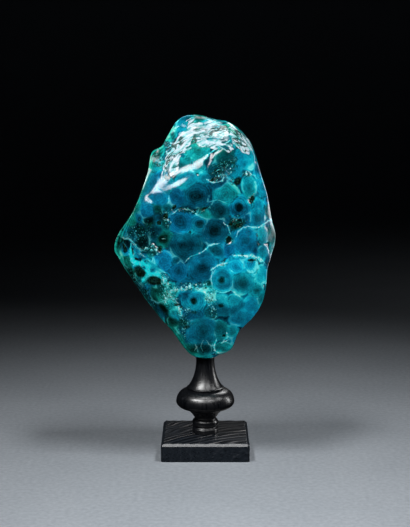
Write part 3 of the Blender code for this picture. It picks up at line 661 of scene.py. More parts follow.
def growth_fields(surface, growths):
    """What the growths show at each point, as named values: tone, hue and ring strength, and millimetres
    from the middle of the one it lies in and to its border. Neighbours meet halfway and melt into each
    other there, and matrix shows in the wider gaps."""
    warped = surface + BROAD_WARP[0] * noise_shift(surface, BROAD_WARP[1])
    warped = warped + FINE_WARP[0] * noise_shift(surface, FINE_WARP[1], shift=40.0)
    reach = growths[:, 3] - REACH_TRIM + 1.5 * (growths[:, 6] + growths[:, 7])
    names = ("tone", "hue", "ring", "from_middle", "border", "matrix")
    fields = {name: np.zeros(len(surface)) for name in names}
    for part in np.array_split(np.arange(len(surface)), BATCHES):
        away = np.linalg.norm(warped[part, None] - growths[None, :, :3], axis=2)
        order = np.argpartition(away - reach, 1, axis=1)[:, :2]
        to_middle = np.take_along_axis(away, order, 1)
        past_edge = to_middle - reach[order]
        radius, pale, pupil, core, halo, tint = np.moveaxis(growths[order, 3:], 2, 0)
        share = to_middle / radius
        pupil = np.maximum(pupil, 0.05)
        sharp = np.minimum(2 * core, 1)
        in_core = smooth_step((1.6 - 0.3 * sharp) * pupil, (0.3 + 0.4 * sharp) * pupil, share)
        in_core *= CORE_FORCE * core
        light_ring = halo * np.exp(-(((share - pupil - 0.22) / 0.14) ** 2))
        profile = pale + GROWTH_RISE * np.minimum(share, 1.2) ** 2 - in_core + 0.2 * light_ring
        between = past_edge[:, 1] - past_edge[:, 0]
        own = 0.5 + 0.5 * smooth_step(0, 2 * EDGE_BLEND, between)
        matrix = smooth_step(MATRIX_GAP, 2 * MATRIX_GAP, past_edge[:, 0])
        for name, values in (("tone", profile), ("hue", tint + 2 * in_core), ("ring", halo)):
            fields[name][part] = (own * values[:, 0] + (1 - own) * values[:, 1]) * (1 - matrix)
        fields["from_middle"][part] = to_middle[:, 0]
        fields["border"][part] = np.minimum(between / 2, np.abs(past_edge[:, 0])) + 9 * matrix
        fields["matrix"][part] = matrix
    fields["tone"] += fields["matrix"] * (MATRIX_TONE + 0.07 * noise_field(surface, 11.0, shift=50.0))
    return fields


def vein_fields(surface, front):
    """Signed distance to the nearest vein as a share of its width, and how strong that vein is there."""
    aside = np.full(len(surface), 9.0)
    strength = np.zeros(len(surface))
    flat = (surface + VEIN_WARP[0] * noise_shift(surface, VEIN_WARP[1], shift=9.0))[:, [0, 2]]
    swelling = 1 + VEIN_SWELLING[0] * noise_field(surface, VEIN_SWELLING[1], shift=17.0)
    for force, width, *places in VEINS:
        points = np.array(places).reshape(-1, 2)
        for start, end in zip(points, points[1:]):
            run = end - start
            along = np.clip(((flat - start) @ run) / (run @ run), -0.04, 1.04)
            offset = flat - start - along[:, None] * run
            distance = np.hypot(offset[:, 0], offset[:, 1])
            side = np.sign(run[0] * offset[:, 1] - run[1] * offset[:, 0])
            signed = np.where(side == 0, 1, side) * distance / (width * swelling)
            near = front & (np.abs(signed) < np.abs(aside))
            aside = np.where(near, signed, aside)
            strength = np.where(near, force * (np.abs(signed) < VEIN_REACH), strength)
    return aside, strength


def nugget_fields(surface, ball):
    """The nugget's pattern and relief, as named values at each point."""
    lumps = partial(noise_field, surface)
    front = ball[:, 1] < 0.05
    near_front = smooth_step(0.15, -0.25, ball[:, 1])
    ragged = 0.30 * lumps(1.6, shift=3.0) + 0.30 * lumps(3.6, shift=8.0)
    fields = growth_fields(surface, all_growths(surface, front))

    def shares(table, roughness, outer, inner):
        """For each ellipse of a table, its amount where each point lies inside its rough edge."""
        edges = [ellipse_distance(surface, *ellipse) + roughness * ragged for *ellipse, _ in table]
        return [row[-1] * smooth_step(outer, inner, edge) * near_front for row, edge in zip(table, edges)]

    chance = lumps(16.0, shift=5.0)
    depth = 0.4 * smooth_step(0.0, 0.4, chance) * fields["matrix"]
    hollow, brim = np.zeros((2, len(surface)))
    for x, z, length, width, tilt, deep in CAVITIES:
        away = ellipse_distance(surface, x, z, length, width, tilt) + ragged * min(1, 2 / length)
        inside = smooth_step(1.15, 0.75, away) * near_front
        hollow = np.maximum(hollow, inside)
        depth = np.maximum(depth, CAVITY_DEPTH * deep * inside)
        brim = np.maximum(brim, smooth_step(1.8, 1.15, away) * near_front)

    crust = 0.7 * smooth_step(0.1, 0.4, -chance) * smooth_step(0.5, 0.9, fields["matrix"])
    crumbled = smooth_step(-0.1, 0.3, lumps(4.5, shift=26.0)) * smooth_step(-34, -28, surface[:, 0])
    crust = np.maximum.reduce([crust, 0.58 * brim * crumbled, *shares(CRUSTS, 1.5, 1.3, 0.5)])
    silica = np.maximum.reduce(shares(SILICA_PLATES_AND_GLARE, 0.5, 1.4, 0.8))
    # Broad changes of tone, and darker where the surface sinks into gaps and cavities: painted shade in
    # them
    tone = fields["tone"] + 0.04 * lumps(30.0, shift=2.0) - 0.4 * depth
    tone += sum(shares(PATCHES, 0.6, 1.35, 0.55))

    # The thin edge is painted paler as light shining through it: mint green with fine layers along the
    # left, and elsewhere a pale line that is also a painted rim highlight
    inward = (1 - np.hypot(ball[:, 0], ball[:, 2])) * EDGE_SCALE
    below_middle = (surface[:, 2] - STONE_MIDDLE[2]) * (surface[:, 2] < STONE_MIDDLE[2])
    left = smooth_step(-14, -44, surface[:, 0] + 0.25 * below_middle)
    mint = left * np.exp(-((inward / MINT_WIDTH) ** 2))
    layers = np.sin(TURN * inward / MINT_LAYER + 2 * lumps(12.0, shift=61.0))
    upper = 0.3 + 0.7 * smooth_step(130, 146, surface[:, 2]) + 0.3 * smooth_step(105, 90, surface[:, 2])
    pale_line = (1 - left * upper) * np.exp(-((inward / RIM_GLOW_WIDTH) ** 2))
    tone += mint * upper * (0.16 + 0.15 * layers) + 0.18 * pale_line
    hue = fields["hue"] + HUE_BIAS + 1.1 * mint + 0.25 * lumps(11.0, shift=7.0)
    hue += 0.5 * smooth_step(206, 216, surface[:, 2]) * smooth_step(-16, -6, surface[:, 0])

    kind = lumps(7.0, shift=1.0)
    kind = smooth_step(0.10, 0.35, kind) - smooth_step(-0.12, -0.35, kind)
    aside, vein = vein_fields(surface, front)
    return fields | {
        "tone": tone, "hue": hue, "kind": kind, "vein_side": aside, "vein": vein, "crust": crust,
        "brim": brim, "silica": silica, "hollow": hollow, "depth": depth,
    }


def nugget_relief(surface, fields):
    """How far the polished surface stands in or out at each point."""
    lumps = partial(noise_field, surface)
    rough = 1 - 0.85 * np.exp(-(ellipse_distance(surface, *CALM_RIDGE) ** 2))
    wave = WAVES[0] * lumps(WAVES[1], shift=12.0) + SHORT_WAVES[0] * lumps(SHORT_WAVES[1], shift=14.0)
    groove = GROOVES[0] * np.exp(-((fields["border"] / GROOVES[1]) ** 2)) * np.abs(fields["kind"])
    crumbs = lumps(CRUMBS[1], octaves=3, shift=21.0) * (1 - fields["hollow"])
    bulges = BULGES[0] * lumps(BULGES[1], shift=30.0) + SMALL_BULGES[0] * lumps(SMALL_BULGES[1], shift=33.0)
    polished = rough * (wave + smooth_step(*BULGES_START, surface[:, 2]) * bulges) - groove
    return polished + CRUMBS[0] * fields["crust"] * crumbs - fields["depth"] * (1 + 0.15 * crumbs)


def new_piece(name, mesh, material):
    """An object at the origin that holds this mesh and material."""
    mesh.materials.clear()
    mesh.materials.append(material)
    piece = bpy.data.objects.new(name, mesh)
    bpy.context.scene.collection.objects.link(piece)
    return piece


def grid_mesh(name, points, faces):
    """A smooth-shaded mesh of four-sided faces, from points in millimetres."""
    mesh = bpy.data.meshes.new(name)
    mesh.from_pydata((points * MM).tolist(), [], faces.tolist())
    mesh.shade_smooth()
    return mesh


def store(mesh, name, values):
    """A named vector for each point of a mesh."""
    attribute = mesh.attributes.new(name, "FLOAT_VECTOR", "POINT")
    attribute.data.foreach_set("vector", np.stack(values, 1).astype(np.float32).ravel())


def make_nugget(material):
    """The nugget: a ball grid drawn out to the broad form, then given its relief, cavities and pattern."""
    counts = (STEPS_ACROSS, STEPS_THROUGH, STEPS_UP)
    steps = [np.tan(np.linspace(-math.pi / 4, math.pi / 4, count + 1)) for count in counts]
    ball, faces, corner_places = six_grids(*steps)
    ball /= np.linalg.norm(ball, axis=1, keepdims=True)
    surface = broad_form(ball)
    fields = nugget_fields(surface, ball)
    points = surface + point_normals(surface, faces) * nugget_relief(surface, fields)[:, None]
    seated = smooth_step(SEAT_RADIUS + 2, SEAT_RADIUS - 2, np.hypot(points[:, 0], points[:, 1]))
    seated *= points[:, 2] < NECK_TOP + SEAT_SLACK
    points[:, 2] += seated * (NECK_TOP - points[:, 2])

    mesh = grid_mesh("nugget", points, faces)
    for name, parts in NUGGET_FIELDS.items():
        store(mesh, name, [fields[part] for part in parts])
    places = mesh.uv_layers.new(name="OFBake")
    places.data.foreach_set("uv", corner_places.astype(np.float32).ravel())
    return new_piece("nugget", mesh, material)


def arc(middle, radii, start, end, steps):
    """Points along an ellipse from one angle to another, in degrees."""
    angles = [math.radians(start + (end - start) * i / steps) for i in range(steps + 1)]
    return [(middle[0] + radii[0] * math.cos(a), middle[1] + radii[1] * math.sin(a)) for a in angles]


def stem_profile():
    """The turned outline, from the bottom of the pin's hole, over the neck and down to the tenon's end."""
    hole_end = NECK_TOP - PIN_HOLE_DEPTH
    flare_middle = (NECK_RADIUS + TRUMPET_FLARE, TRUMPET_TOP)
    rim_angle = math.degrees(math.asin((TRUMPET_TOP - RIM_HEIGHT - RIM_EDGE) / TRUMPET_FALL))
    torus_over = (TORUS_TOP_CORE, TORUS_MIDDLE)
    torus_under = (TORUS_UNDER_CORE, TORUS_MIDDLE)
    foot_bottom = PLINTH_HEIGHT + GAP

    points = [(0, hole_end), (PIN_HOLE_RADIUS, hole_end), (PIN_HOLE_RADIUS, NECK_TOP)]
    points += [(NECK_RADIUS - NECK_EDGE, NECK_TOP), (NECK_RADIUS, NECK_TOP - NECK_EDGE)]
    points += arc(flare_middle, (TRUMPET_FLARE, TRUMPET_FALL), 180, 180 + rim_angle, TRUMPET_STEPS)
    points += arc((RIM_RADIUS - RIM_EDGE, RIM_HEIGHT), (RIM_EDGE, RIM_EDGE), *RIM_ARC)
    points += [(GROOVE_RADIUS, GROOVE_HEIGHT)]
    points += arc(torus_over, (TORUS_RADIUS - TORUS_TOP_CORE, TORUS_RISE), *TORUS_OVER_ARC)
    points += arc(torus_under, (TORUS_RADIUS - TORUS_UNDER_CORE, TORUS_DROP), *TORUS_UNDER_ARC)
    for i in range(CAVETTO_STEPS + 1):
        rise = 1 - i / CAVETTO_STEPS
        height = WAIST_HEIGHT + (CAVETTO_TOP - WAIST_HEIGHT) * rise
        points += [(WAIST_RADIUS + CAVETTO_FLARE * rise**CAVETTO_POWER, height)]
    points += arc((BEAD_CORE, BEAD_MIDDLE), (BEAD_RADIUS - BEAD_CORE, BEAD_HALF_HEIGHT), *BEAD_ARC)
    points += [(FOOT_RADIUS - FOOT_EDGE, FOOT_TOP), (FOOT_RADIUS, FOOT_TOP - FOOT_EDGE)]
    points += [(FOOT_RADIUS, foot_bottom), (TENON_RADIUS, foot_bottom)]
    points += [(TENON_RADIUS, foot_bottom - TENON_LENGTH), (0, foot_bottom - TENON_LENGTH)]
    return points


def new_tree(name, inputs):
    """An empty Geometry Nodes tree with these named inputs, and its group input's outputs."""
    tree = bpy.data.node_groups.new(name, "GeometryNodeTree")
    for label, kind in inputs.items():
        tree.interface.new_socket(label, in_out="INPUT", socket_type="NodeSocket" + kind)
    tree.interface.new_socket("Result", in_out="OUTPUT", socket_type="NodeSocketGeometry")
    return tree, add(tree, "NodeGroupInput")


def end_tree(tree, shape, material):
    """The last steps of a tree: real geometry for instances, smooth shading, and the material."""
    shape = add(tree, "GeometryNodeRealizeInstances", None, {"Geometry": shape})[0]
    shape = add(tree, "GeometryNodeSetShadeSmooth", None, {"Geometry": shape})[0]
    shape = add(tree, "GeometryNodeSetMaterial", None, {"Geometry": shape, "Material": material})[0]
    add(tree, "NodeGroupOutput", None, {"Result": shape})


def grown(tree, source_mesh, inputs):
    """The plain mesh that a Geometry Nodes tree makes of a source mesh."""
    source = bpy.data.objects.new("source", source_mesh)
    bpy.context.scene.collection.objects.link(source)
    modifier = source.modifiers.new("nodes", "NODES")
    modifier.node_group = tree
    for item in tree.interface.items_tree:
        if item.name in inputs:
            modifier[item.identifier] = inputs[item.name]
    result = source.evaluated_get(bpy.context.evaluated_depsgraph_get())
    mesh = bpy.data.meshes.new_from_object(result)
    bpy.data.objects.remove(source)
    return mesh


def lathe_tree():
    """Turns a profile about Z. The tool leaves fine marks, which follow its path down the work."""
    tree, given = new_tree("lathe", {
        "Profile": "Geometry", "Rows": "Int", "Sides": "Int", "Mark pitch": "Float", "Mark depth": "Float",
        "Material": "Material",
    })
    curve = add(tree, "GeometryNodeMeshToCurve", None, {"Mesh": given["Profile"]})[0]
    closing = add(tree, MATH, PLUS, (given["Sides"], 1.0))[0]
    size = {"Size X": 1.0, "Size Y": 1.0, "Vertices X": given["Rows"], "Vertices Y": closing}
    sheet = add(tree, "GeometryNodeMeshGrid", None, size)[0]
    along, around, _ = add(tree, SPLIT, None, (add(tree, "GeometryNodeInputPosition")[0],))
    along = add(tree, MATH, PLUS, (along, 0.5))[0]
    angle = add(tree, MATH, TIMES, (around, TURN))[0]
    sampled = add(tree, "GeometryNodeSampleCurve", {"mode": "FACTOR"}, {"Curves": curve, "Factor": along})
    radius, _, height = add(tree, SPLIT, None, (sampled["Position"],))

    turns = add(tree, MATH, DIVIDE, (height, given["Mark pitch"]))[0]
    wander = add(tree, NOISE, None, {"Vector": sampled["Position"], "Scale": 1 / (MARK_WANDER * MM)})[0]
    phase = add(tree, MATH, PLUS, (turns, wander))[0]
    phase = add(tree, MATH, TIMES, (phase, TURN))[0]
    wave = add(tree, MATH, SINE, (phase,))[0]
    marks = add(tree, MATH, TIMES, (wave, given["Mark depth"]))[0]
    outside = add(tree, RANGE, None, (radius, PIN_HOLE_RADIUS * MM, NECK_RADIUS * MM))[0]
    reach = add(tree, MATH, TIMES_PLUS, (marks, outside, radius))[0]

    sides = [add(tree, MATH, side, (angle,))[0] for side in (COSINE, SINE)]
    x, y = [add(tree, MATH, TIMES, (reach, side))[0] for side in sides]
    turned = add(tree, JOIN, None, (x, y, height))[0]
    shape = add(tree, "GeometryNodeSetPosition", None, {"Geometry": sheet, "Position": turned})[0]
    shape = add(tree, "GeometryNodeMergeByDistance", None, {"Geometry": shape, "Distance": WELD * MM})[0]
    end_tree(tree, shape, given["Material"])
    return tree


def make_stem(material):
    """The stem, turned in one piece from the pin's hole to the tenon."""
    line = bpy.data.meshes.new("stem profile")
    points = [(radius * MM, 0, height * MM) for radius, height in stem_profile()]
    line.from_pydata(points, [(i, i + 1) for i in range(len(points) - 1)], [])
    mesh = grown(lathe_tree(), line, {
        "Rows": STEM_ROWS, "Sides": STEM_SIDES, "Mark pitch": TOOL_MARK_PITCH * MM,
        "Mark depth": TOOL_MARK_DEPTH * MM, "Material": material,
    })
    x, y, z = np.array([vertex.co for vertex in mesh.vertices]).T
    ring = np.hypot(x - STEM_HEART[0] * MM, y - STEM_HEART[1] * MM)
    store(mesh, "grain", (z, ring, np.arctan2(y, x) * BEAD_RADIUS * MM))
    return new_piece("turned_stem", mesh, material)


def make_plinth(material):
    """The plinth: a block with a chamfered top, softened corners, a mortise, and the grain standing
    proud."""
    along = np.linspace(-1, 1, PLINTH_STEPS + 1)
    up = np.linspace(-1, 1, PLINTH_STEPS_UP + 1)
    points, faces, _ = six_grids(along, along, up)
    half = PLINTH_SIDE / 2
    points = points * (half, half, PLINTH_HEIGHT / 2) + (0, 0, PLINTH_HEIGHT / 2)

    for axis in (0, 1):
        over = np.abs(points[:, axis]) + points[:, 2] - (half + PLINTH_HEIGHT - PLINTH_CHAMFER)
        over = np.maximum(over, 0) / 2
        points[:, axis] -= np.sign(points[:, axis]) * over
        points[:, 2] -= over
    corner = np.abs(points[:, 0]) + np.abs(points[:, 1]) - 2 * (half - PLINTH_CORNER)
    corner = np.maximum(corner, 0) / 2
    points[:, :2] -= np.sign(points[:, :2]) * corner[:, None]

    normals = point_normals(points, faces)
    across = points[:, 1] - RING_ARCH - RING_SLANT * points[:, 0] + RING_BEND * points[:, 0] ** 2
    across = across / math.hypot(1, RING_SLANT)
    across += RING_WANDER * noise_field(points * (0.35, 1, 1), RING_WANDER_SIZE)
    ring = np.hypot(across, points[:, 2] - PLINTH_HEIGHT + RING_HEART_DEPTH) / RING_SPACING
    ridges = np.abs((ring % 1) * 2 - 1)
    pores = noise_field(points * (0.08, 1, 1), 0.9, octaves=2, shift=4.0)
    on_top = 0.05 + 0.95 * smooth_step(0.8, 1.0, normals[:, 2])
    relief = on_top * (RING_RELIEF * (ridges - 0.5) + PORE_RELIEF * pores)
    points += normals * relief[:, None]

    reach = np.maximum(np.abs(points[:, 0]), np.abs(points[:, 1]))
    away = np.maximum(np.hypot(points[:, 0], points[:, 1]), TINY)
    rounding = smooth_step(*MORTISE_ROUNDING, reach) * (reach / away - 1)
    points[:, :2] *= 1 + rounding[:, None]
    in_mortise = (reach < TENON_RADIUS + GAP) & (points[:, 2] > PLINTH_HEIGHT / 2)
    points[in_mortise, 2] = PLINTH_HEIGHT - TENON_LENGTH - 2 * GAP
    mesh = grid_mesh("plinth", points, faces)
    mesh.set_sharp_from_angle(angle=math.radians(SHARP_ANGLE))
    store(mesh, "grain", (points[:, 0] * MM, ring * RING_SPACING * MM, points[:, 2] * MM))
    # Where the rings are painted pale, partly grey grain and partly painted glints: the top
    top = mesh.attributes.new("top", "FLOAT", "POINT")
    top.data.foreach_set("value", on_top.astype(np.float32))
    return new_piece("plinth_block", mesh, material)


def grain_tree():
    """Scatters little rounded grains over the nugget, thickly where its crust lies and nowhere else."""
    tree, given = new_tree("crust grains", {
        "Nugget": "Geometry", "Grains per square metre": "Float", "Smallest": "Float", "Largest": "Float",
        "Seed": "Int", "Material": "Material",
    })
    stored = {"data_type": "FLOAT_VECTOR"}
    damage = add(tree, "GeometryNodeInputNamedAttribute", stored, {"Name": "damage"})[0]
    crust = add(tree, SPLIT, None, (damage,))[0]
    chance = add(tree, RANGE, None, (crust, *GRAIN_CRUST))[0]
    chance = add(tree, MATH, TIMES, (chance, given["Grains per square metre"]))[0]
    spread = {"Mesh": given["Nugget"], "Density": chance, "Seed": given["Seed"]}
    points = add(tree, "GeometryNodeDistributePointsOnFaces", {"distribute_method": "RANDOM"}, spread)[0]
    ball = add(tree, "GeometryNodeMeshIcoSphere", None, {"Radius": 1.0, "Subdivisions": 1})[0]
    between = {2: given["Smallest"], 3: given["Largest"], "Seed": 3}
    size = add(tree, "FunctionNodeRandomValue", {"data_type": "FLOAT"}, between)[1]
    between = {"Min": (0, 0, 0), "Max": (6.28, 6.28, 6.28), "Seed": 5}
    turn = add(tree, "FunctionNodeRandomValue", {"data_type": "FLOAT_VECTOR"}, between)[0]
    grains = {"Points": points, "Instance": ball, "Rotation": turn, "Scale": size}
    end_tree(tree, add(tree, "GeometryNodeInstanceOnPoints", None, grains)[0], given["Material"])
    return tree


def make_grains(nugget, material):
    """The loose, rounded grains that sit in the nugget's crust."""
    mesh = grown(grain_tree(), nugget.data, {
        "Grains per square metre": GRAINS_PER_SQUARE_METRE, "Smallest": GRAIN_RADII[0] * MM,
        "Largest": GRAIN_RADII[1] * MM, "Seed": 4, "Material": material,
    })
    return new_piece("crust_grains", mesh, material)


def new_material(name):
    """A material with its node tree and its shader's sockets."""
    material = bpy.data.materials.new(name)
    material.use_nodes = True
    return material, material.node_tree, material.node_tree.nodes["Principled BSDF"].inputs


def chrysocolla():
    """Tumbled and polished chrysocolla, a copper silicate gone glassy with silica. It gives the eye deep,
    wet blues and teals in soft round growths, pale veins between them, and dull crumbly pockets."""
    material, tree, shader = new_material("polished chrysocolla")
    fields = []
    for name in NUGGET_FIELDS:
        read = add(tree, ATTRIBUTE, {"attribute_name": name})["Vector"]
        fields += add(tree, SPLIT, None, (read,))
    tone, hue, ring, from_middle, border, kind, vein_side, vein, silica, crust, hollow, brim = fields

    # The silica plates arch over a middle inside the stone, so their noise is read along and across that
    # arch
    place = add(tree, COORDINATES)["Object"]
    from_arch = add(tree, VECTOR_MATH, MINUS, (place, (PLATE_ARCH[0] * MM, 0, PLATE_ARCH[1] * MM)))[0]
    across, inward, upward = add(tree, SPLIT, None, (from_arch,))
    level = add(tree, JOIN, None, (across, 0.0, upward))[0]
    level = add(tree, VECTOR_MATH, LENGTH, (level,))["Value"]
    around = add(tree, MATH, ANGLE_OF, (across, upward))[0]
    around = add(tree, MATH, TIMES, (around, PLATE_STRETCH * MM))[0]
    arch = add(tree, JOIN, None, (around, level, inward))[0]

    # Clouds in the colour, its fine grain, the silica plates and their streaks, the crust's blotches, and
    # the slits in crust and plates: where each is read, the size of its lumps in millimetres, and its other
    # sockets
    sockets = ("Vector", "Scale", "Detail", "Roughness", "Distortion")
    cloud, grain, plate, streak, blotch, slit, long_slit = [
        add(tree, NOISE, None, dict(zip(sockets, (where, 1 / (size * MM), *others))))[0]
        for where, size, *others in (
            (place, 5.0, 4.0), (place, 1.2, 3.0), (arch, 5.2, 4.0, 0.55, 0.5), (arch, 1.8, 3.0, 0.5, 0.5),
            (place, 2.2, 4.0, 0.6), (place, 3.4, 3.0, 0.5, 0.6), (arch, 6.5, 3.0, 0.5, 1.0),
        )
    ]
    cloud, fleck = [add(tree, MATH, MINUS, (value, 0.5))[0] for value in (cloud, grain)]

    # Fine layers round each growth's middle, 1.4 mm apart, strongest where it has a light ring
    layers = add(tree, MATH, TIMES_PLUS, (cloud, 2.5, from_middle))[0]
    layers = add(tree, MATH, TIMES, (layers, TURN / LAYER_SPACING))[0]
    layers = add(tree, MATH, SINE, (layers,))[0]
    layer_force = add(tree, MATH, TIMES_PLUS, (ring, 0.05, 0.018))[0]

    # The border with the next growth glows where the last silica filled it, and elsewhere gapes in a
    # shallow groove, painted dark as the shade in it
    ragged = add(tree, MATH, TIMES_PLUS, (fleck, 1.2, border))[0]
    light = add(tree, MATH, LARGER, (kind, 0.0))[0]
    dark = add(tree, MATH, SMALLER, (kind, 0.0))[0]
    glow_force = add(tree, MATH, TIMES_PLUS, (light, 0.09, 0.03))[0]
    aside = add(tree, MATH, ABSOLUTE, (vein_side,))[0]
    vein_edge = add(tree, MATH, TIMES_PLUS, (fleck, 1.6, 1.1))[0]

    # Where the plates, in part a painted reflection on the crown, and the crumbs reach, and how far each
    # point lies from the middle of a slit
    over = add(tree, MATH, TIMES_PLUS, (silica, -0.36, 0.735))[0]
    over = add(tree, MATH, MINUS, (plate, over))[0]
    crumb_start = add(tree, MATH, TIMES_PLUS, (crust, -0.30, 0.76))[0]
    crumb_end = add(tree, MATH, PLUS, (crumb_start, 0.09))[0]
    slit = add(tree, MIX, None, {0: silica, 2: slit, 3: long_slit})[0]
    slit = add(tree, MATH, MINUS, (slit, 0.52))[0]
    slit = add(tree, MATH, ABSOLUTE, (slit,))[0]
    slit_edge = add(tree, MATH, TIMES_PLUS, (silica, 0.012, 0.038))[0]
    slit_core = add(tree, MATH, TIMES_PLUS, (silica, 0.016, 0.014))[0]

    # Each mask rises softly from 0 to 1 between two values
    glow, vein_glow, line, gap_shade, vein_line, plate_and_painted_glare, under, crumbs, covered, bed, specks, slit = [
        add(tree, RANGE, SOFT, mask)[0]
        for mask in (
            (ragged, 2.4, 0.0), (aside, 3.2, 0.5), (ragged, 0.55, 0.05), (ragged, 0.8, 0.1),
            (aside, vein_edge, 0.35), (over, -0.01, 0.07), (over, -0.06, -0.01),
            (blotch, crumb_start, crumb_end), (crust, 0.05, 0.35), (blotch, 0.58, 0.40),
            (grain, 0.58, 0.66), (slit, slit_edge, slit_core),
        )
    ]
    open_ground = add(tree, MATH, MINUS, (1.0, hollow))[0]
    plate_and_painted_glare = add(tree, MATH, TIMES, (plate_and_painted_glare, 0.92))[0]
    off_plate = add(tree, MATH, MINUS, (1.0, plate_and_painted_glare))[0]
    narrowed = []
    for mask, *factors in (
        (vein_glow, vein), (line, light, 0.42), (gap_shade, dark, -0.55), (vein_line, vein, 0.85),
        (under, silica, 0.75), (crumbs, covered, open_ground), (bed, covered, off_plate, 0.45),
        (specks, covered, off_plate, 0.7), (slit, covered, 0.9), (hollow, 0.94), (hue, -1.0),
    ):
        for factor in factors:
            mask = add(tree, MATH, TIMES, (mask, factor))[0]
        narrowed.append(mask)
    vein_glow, pale_line, gap_shade, vein_line, under, crumbs, bed, specks, slit, hole, blueness = narrowed

    # The stone's tone, from dark to pale, with the cavities' brims a little paler, in part a painted glint
    # on their rims
    body = tone
    for value, factor in (
        (cloud, 0.38), (fleck, 0.26), (layers, layer_force), (glow, glow_force), (vein_glow, 0.16),
        (brim, 0.07),
    ):
        body = add(tree, MATH, TIMES_PLUS, (value, factor, body))[0]
    body = add(tree, MATH, TIMES_PLUS, (body, 1.3, -0.235))[0]
    paleness = add(tree, MATH, LARGER, (vein, 1.0))[0]
    paleness = add(tree, MATH, TIMES_PLUS, (paleness, -1.6, 1.6))[0]
    paleness = add(tree, MATH, PLUS, (paleness, grain))[0]

    blue, teal, green, filling, white, pale, pit_and_shade = [
        add(tree, RAMP, None, (value,), STONE_COLOURS[name])[0]
        for value, name in (
            (body, "blue"), (body, "teal"), (body, "green"), (paleness, "vein"), (streak, "silica"),
            (grain, "crumbs"), (grain, "pit_and_shade"),
        )
    ]
    stone = teal
    # The gaps' dark lines and the cavities' near-black are in part painted shade, and the white plates on
    # the crown in part a painted reflection
    for mask, paint in (
        (blueness, blue), (hue, green), (pale_line, "5CC8CC"), (gap_shade, "032530"), (vein_line, filling),
        (under, "05433A"), (plate_and_painted_glare, white), (bed, "032C2A"), (specks, "3FB0B4"), (crumbs, pale),
        (slit, "033A32"), (hole, pit_and_shade),
    ):
        paint = colour(paint) if isinstance(paint, str) else paint
        stone = add(tree, MIX, COLOURS, {0: mask, 6: stone, 7: paint})[2]
    tree.links.new(stone, shader["Base Color"])

    broken = add(tree, MATH, LARGER, (crumbs, slit))[0]
    broken = add(tree, MATH, TIMES, (broken, open_ground))[0]
    dullness = add(tree, MATH, TIMES_PLUS, (crumbs, CRUMB_ROUGHNESS, POLISH))[0]
    dullness = add(tree, MATH, TIMES_PLUS, (grain, 0.05, dullness))[0]
    height = add(tree, MATH, TIMES, (grain, 0.10))[0]
    height = add(tree, MATH, TIMES_PLUS, (broken, 0.3, height))[0]
    bump = {"Height": height, "Distance": 0.3 * MM, "Strength": 0.5}
    tree.links.new(dullness, shader["Roughness"])
    tree.links.new(add(tree, BUMP, None, bump)[0], shader["Normal"])
    shader["IOR"].default_value = STONE_INDEX
    return material


def crust_mineral():
    """Chalky, unpolished chrysocolla in loose grains. It gives the eye dull pale specks in the crust."""
    material, tree, shader = new_material("chalky chrysocolla")
    place = add(tree, COORDINATES)["Object"]
    patch = add(tree, NOISE, None, {"Vector": place, "Scale": 1 / (2.5 * MM), "Detail": 3.0})[0]
    stops = ((0.35, "1A8898"), (0.5, "48C4CC"), (0.65, "A4DCDC"))
    tree.links.new(add(tree, RAMP, None, (patch,), stops)[0], shader["Base Color"])
    tree.links.new(add(tree, RANGE, None, (patch, 0.0, 1.0, 0.35, 0.65))[0], shader["Roughness"])
    return material


def ebonised_wood(name, stops, dull):
    """Hardwood with marked growth rings, stained black and waxed. It gives the eye a satin near-black, with
    rings and fine pores; on the plinth's top the rings are painted pale, partly grey in the open grain and
    partly painted glints of the raised grain."""
    material, tree, shader = new_material(name)
    grain = add(tree, ATTRIBUTE, {"attribute_name": "grain"})["Vector"]
    along, ring, aside = add(tree, SPLIT, None, (grain,))

    # Pores are 0.1 to 0.2 mm across in real wood; here they are 0.8 mm, so that they show
    along = add(tree, MATH, TIMES, (along, 0.05))[0]
    place = add(tree, JOIN, None, (along, ring, aside))[0]
    pores = add(tree, NOISE, None, {"Vector": place, "Scale": 1 / (0.8 * MM), "Detail": 2.0})[0]
    bands = add(tree, MATH, TIMES, (ring, TURN / (RING_SPACING * MM)))[0]
    bands = add(tree, MATH, SINE, (bands,))[0]
    shade = add(tree, MATH, TIMES_PLUS, (bands, 0.02, pores))[0]
    on_top = add(tree, ATTRIBUTE, {"attribute_name": "top"})["Fac"]
    # On the plinth's top the rings are painted pale: partly grey in the open grain, partly painted glints
    # of the raised grain
    ring_filler_and_glint = add(tree, RANGE, None, (bands, 0.4, 1.0))[0]
    ring_filler_and_glint = add(tree, MATH, TIMES_PLUS, (ring_filler_and_glint, 0.48, -0.18))[0]
    shade = add(tree, MATH, TIMES_PLUS, (ring_filler_and_glint, on_top, shade))[0]
    bump = {"Height": pores, "Distance": 0.06 * MM, "Strength": 0.4}
    tree.links.new(add(tree, RAMP, None, (shade,), stops)[0], shader["Base Color"])
    tree.links.new(add(tree, RANGE, None, (shade, 0.0, 1.0, 0.20, dull))[0], shader["Roughness"])
    tree.links.new(add(tree, BUMP, None, bump)[0], shader["Normal"])
    shader["IOR"].default_value = WAX_INDEX
    return material


def drawn_steel():
    """Cold-drawn steel rod. It gives the eye a grey sheen with fine scratches along its length."""
    material, tree, shader = new_material("drawn steel")
    place = add(tree, COORDINATES)["Object"]
    place = add(tree, VECTOR_MATH, TIMES, (place, (1.0, 1.0, 0.03)))[0]
    scratches = add(tree, NOISE, None, {"Vector": place, "Scale": 1 / (0.3 * MM), "Detail": 2.0})[0]
    stops = ((0.3, "8E9092"), (0.7, "C0C2C4"))
    tree.links.new(add(tree, RAMP, None, (scratches,), stops)[0], shader["Base Color"])
    tree.links.new(add(tree, RANGE, None, (scratches, 0.0, 1.0, 0.25, 0.45))[0], shader["Roughness"])
    shader["Metallic"].default_value = 1.0
    return material


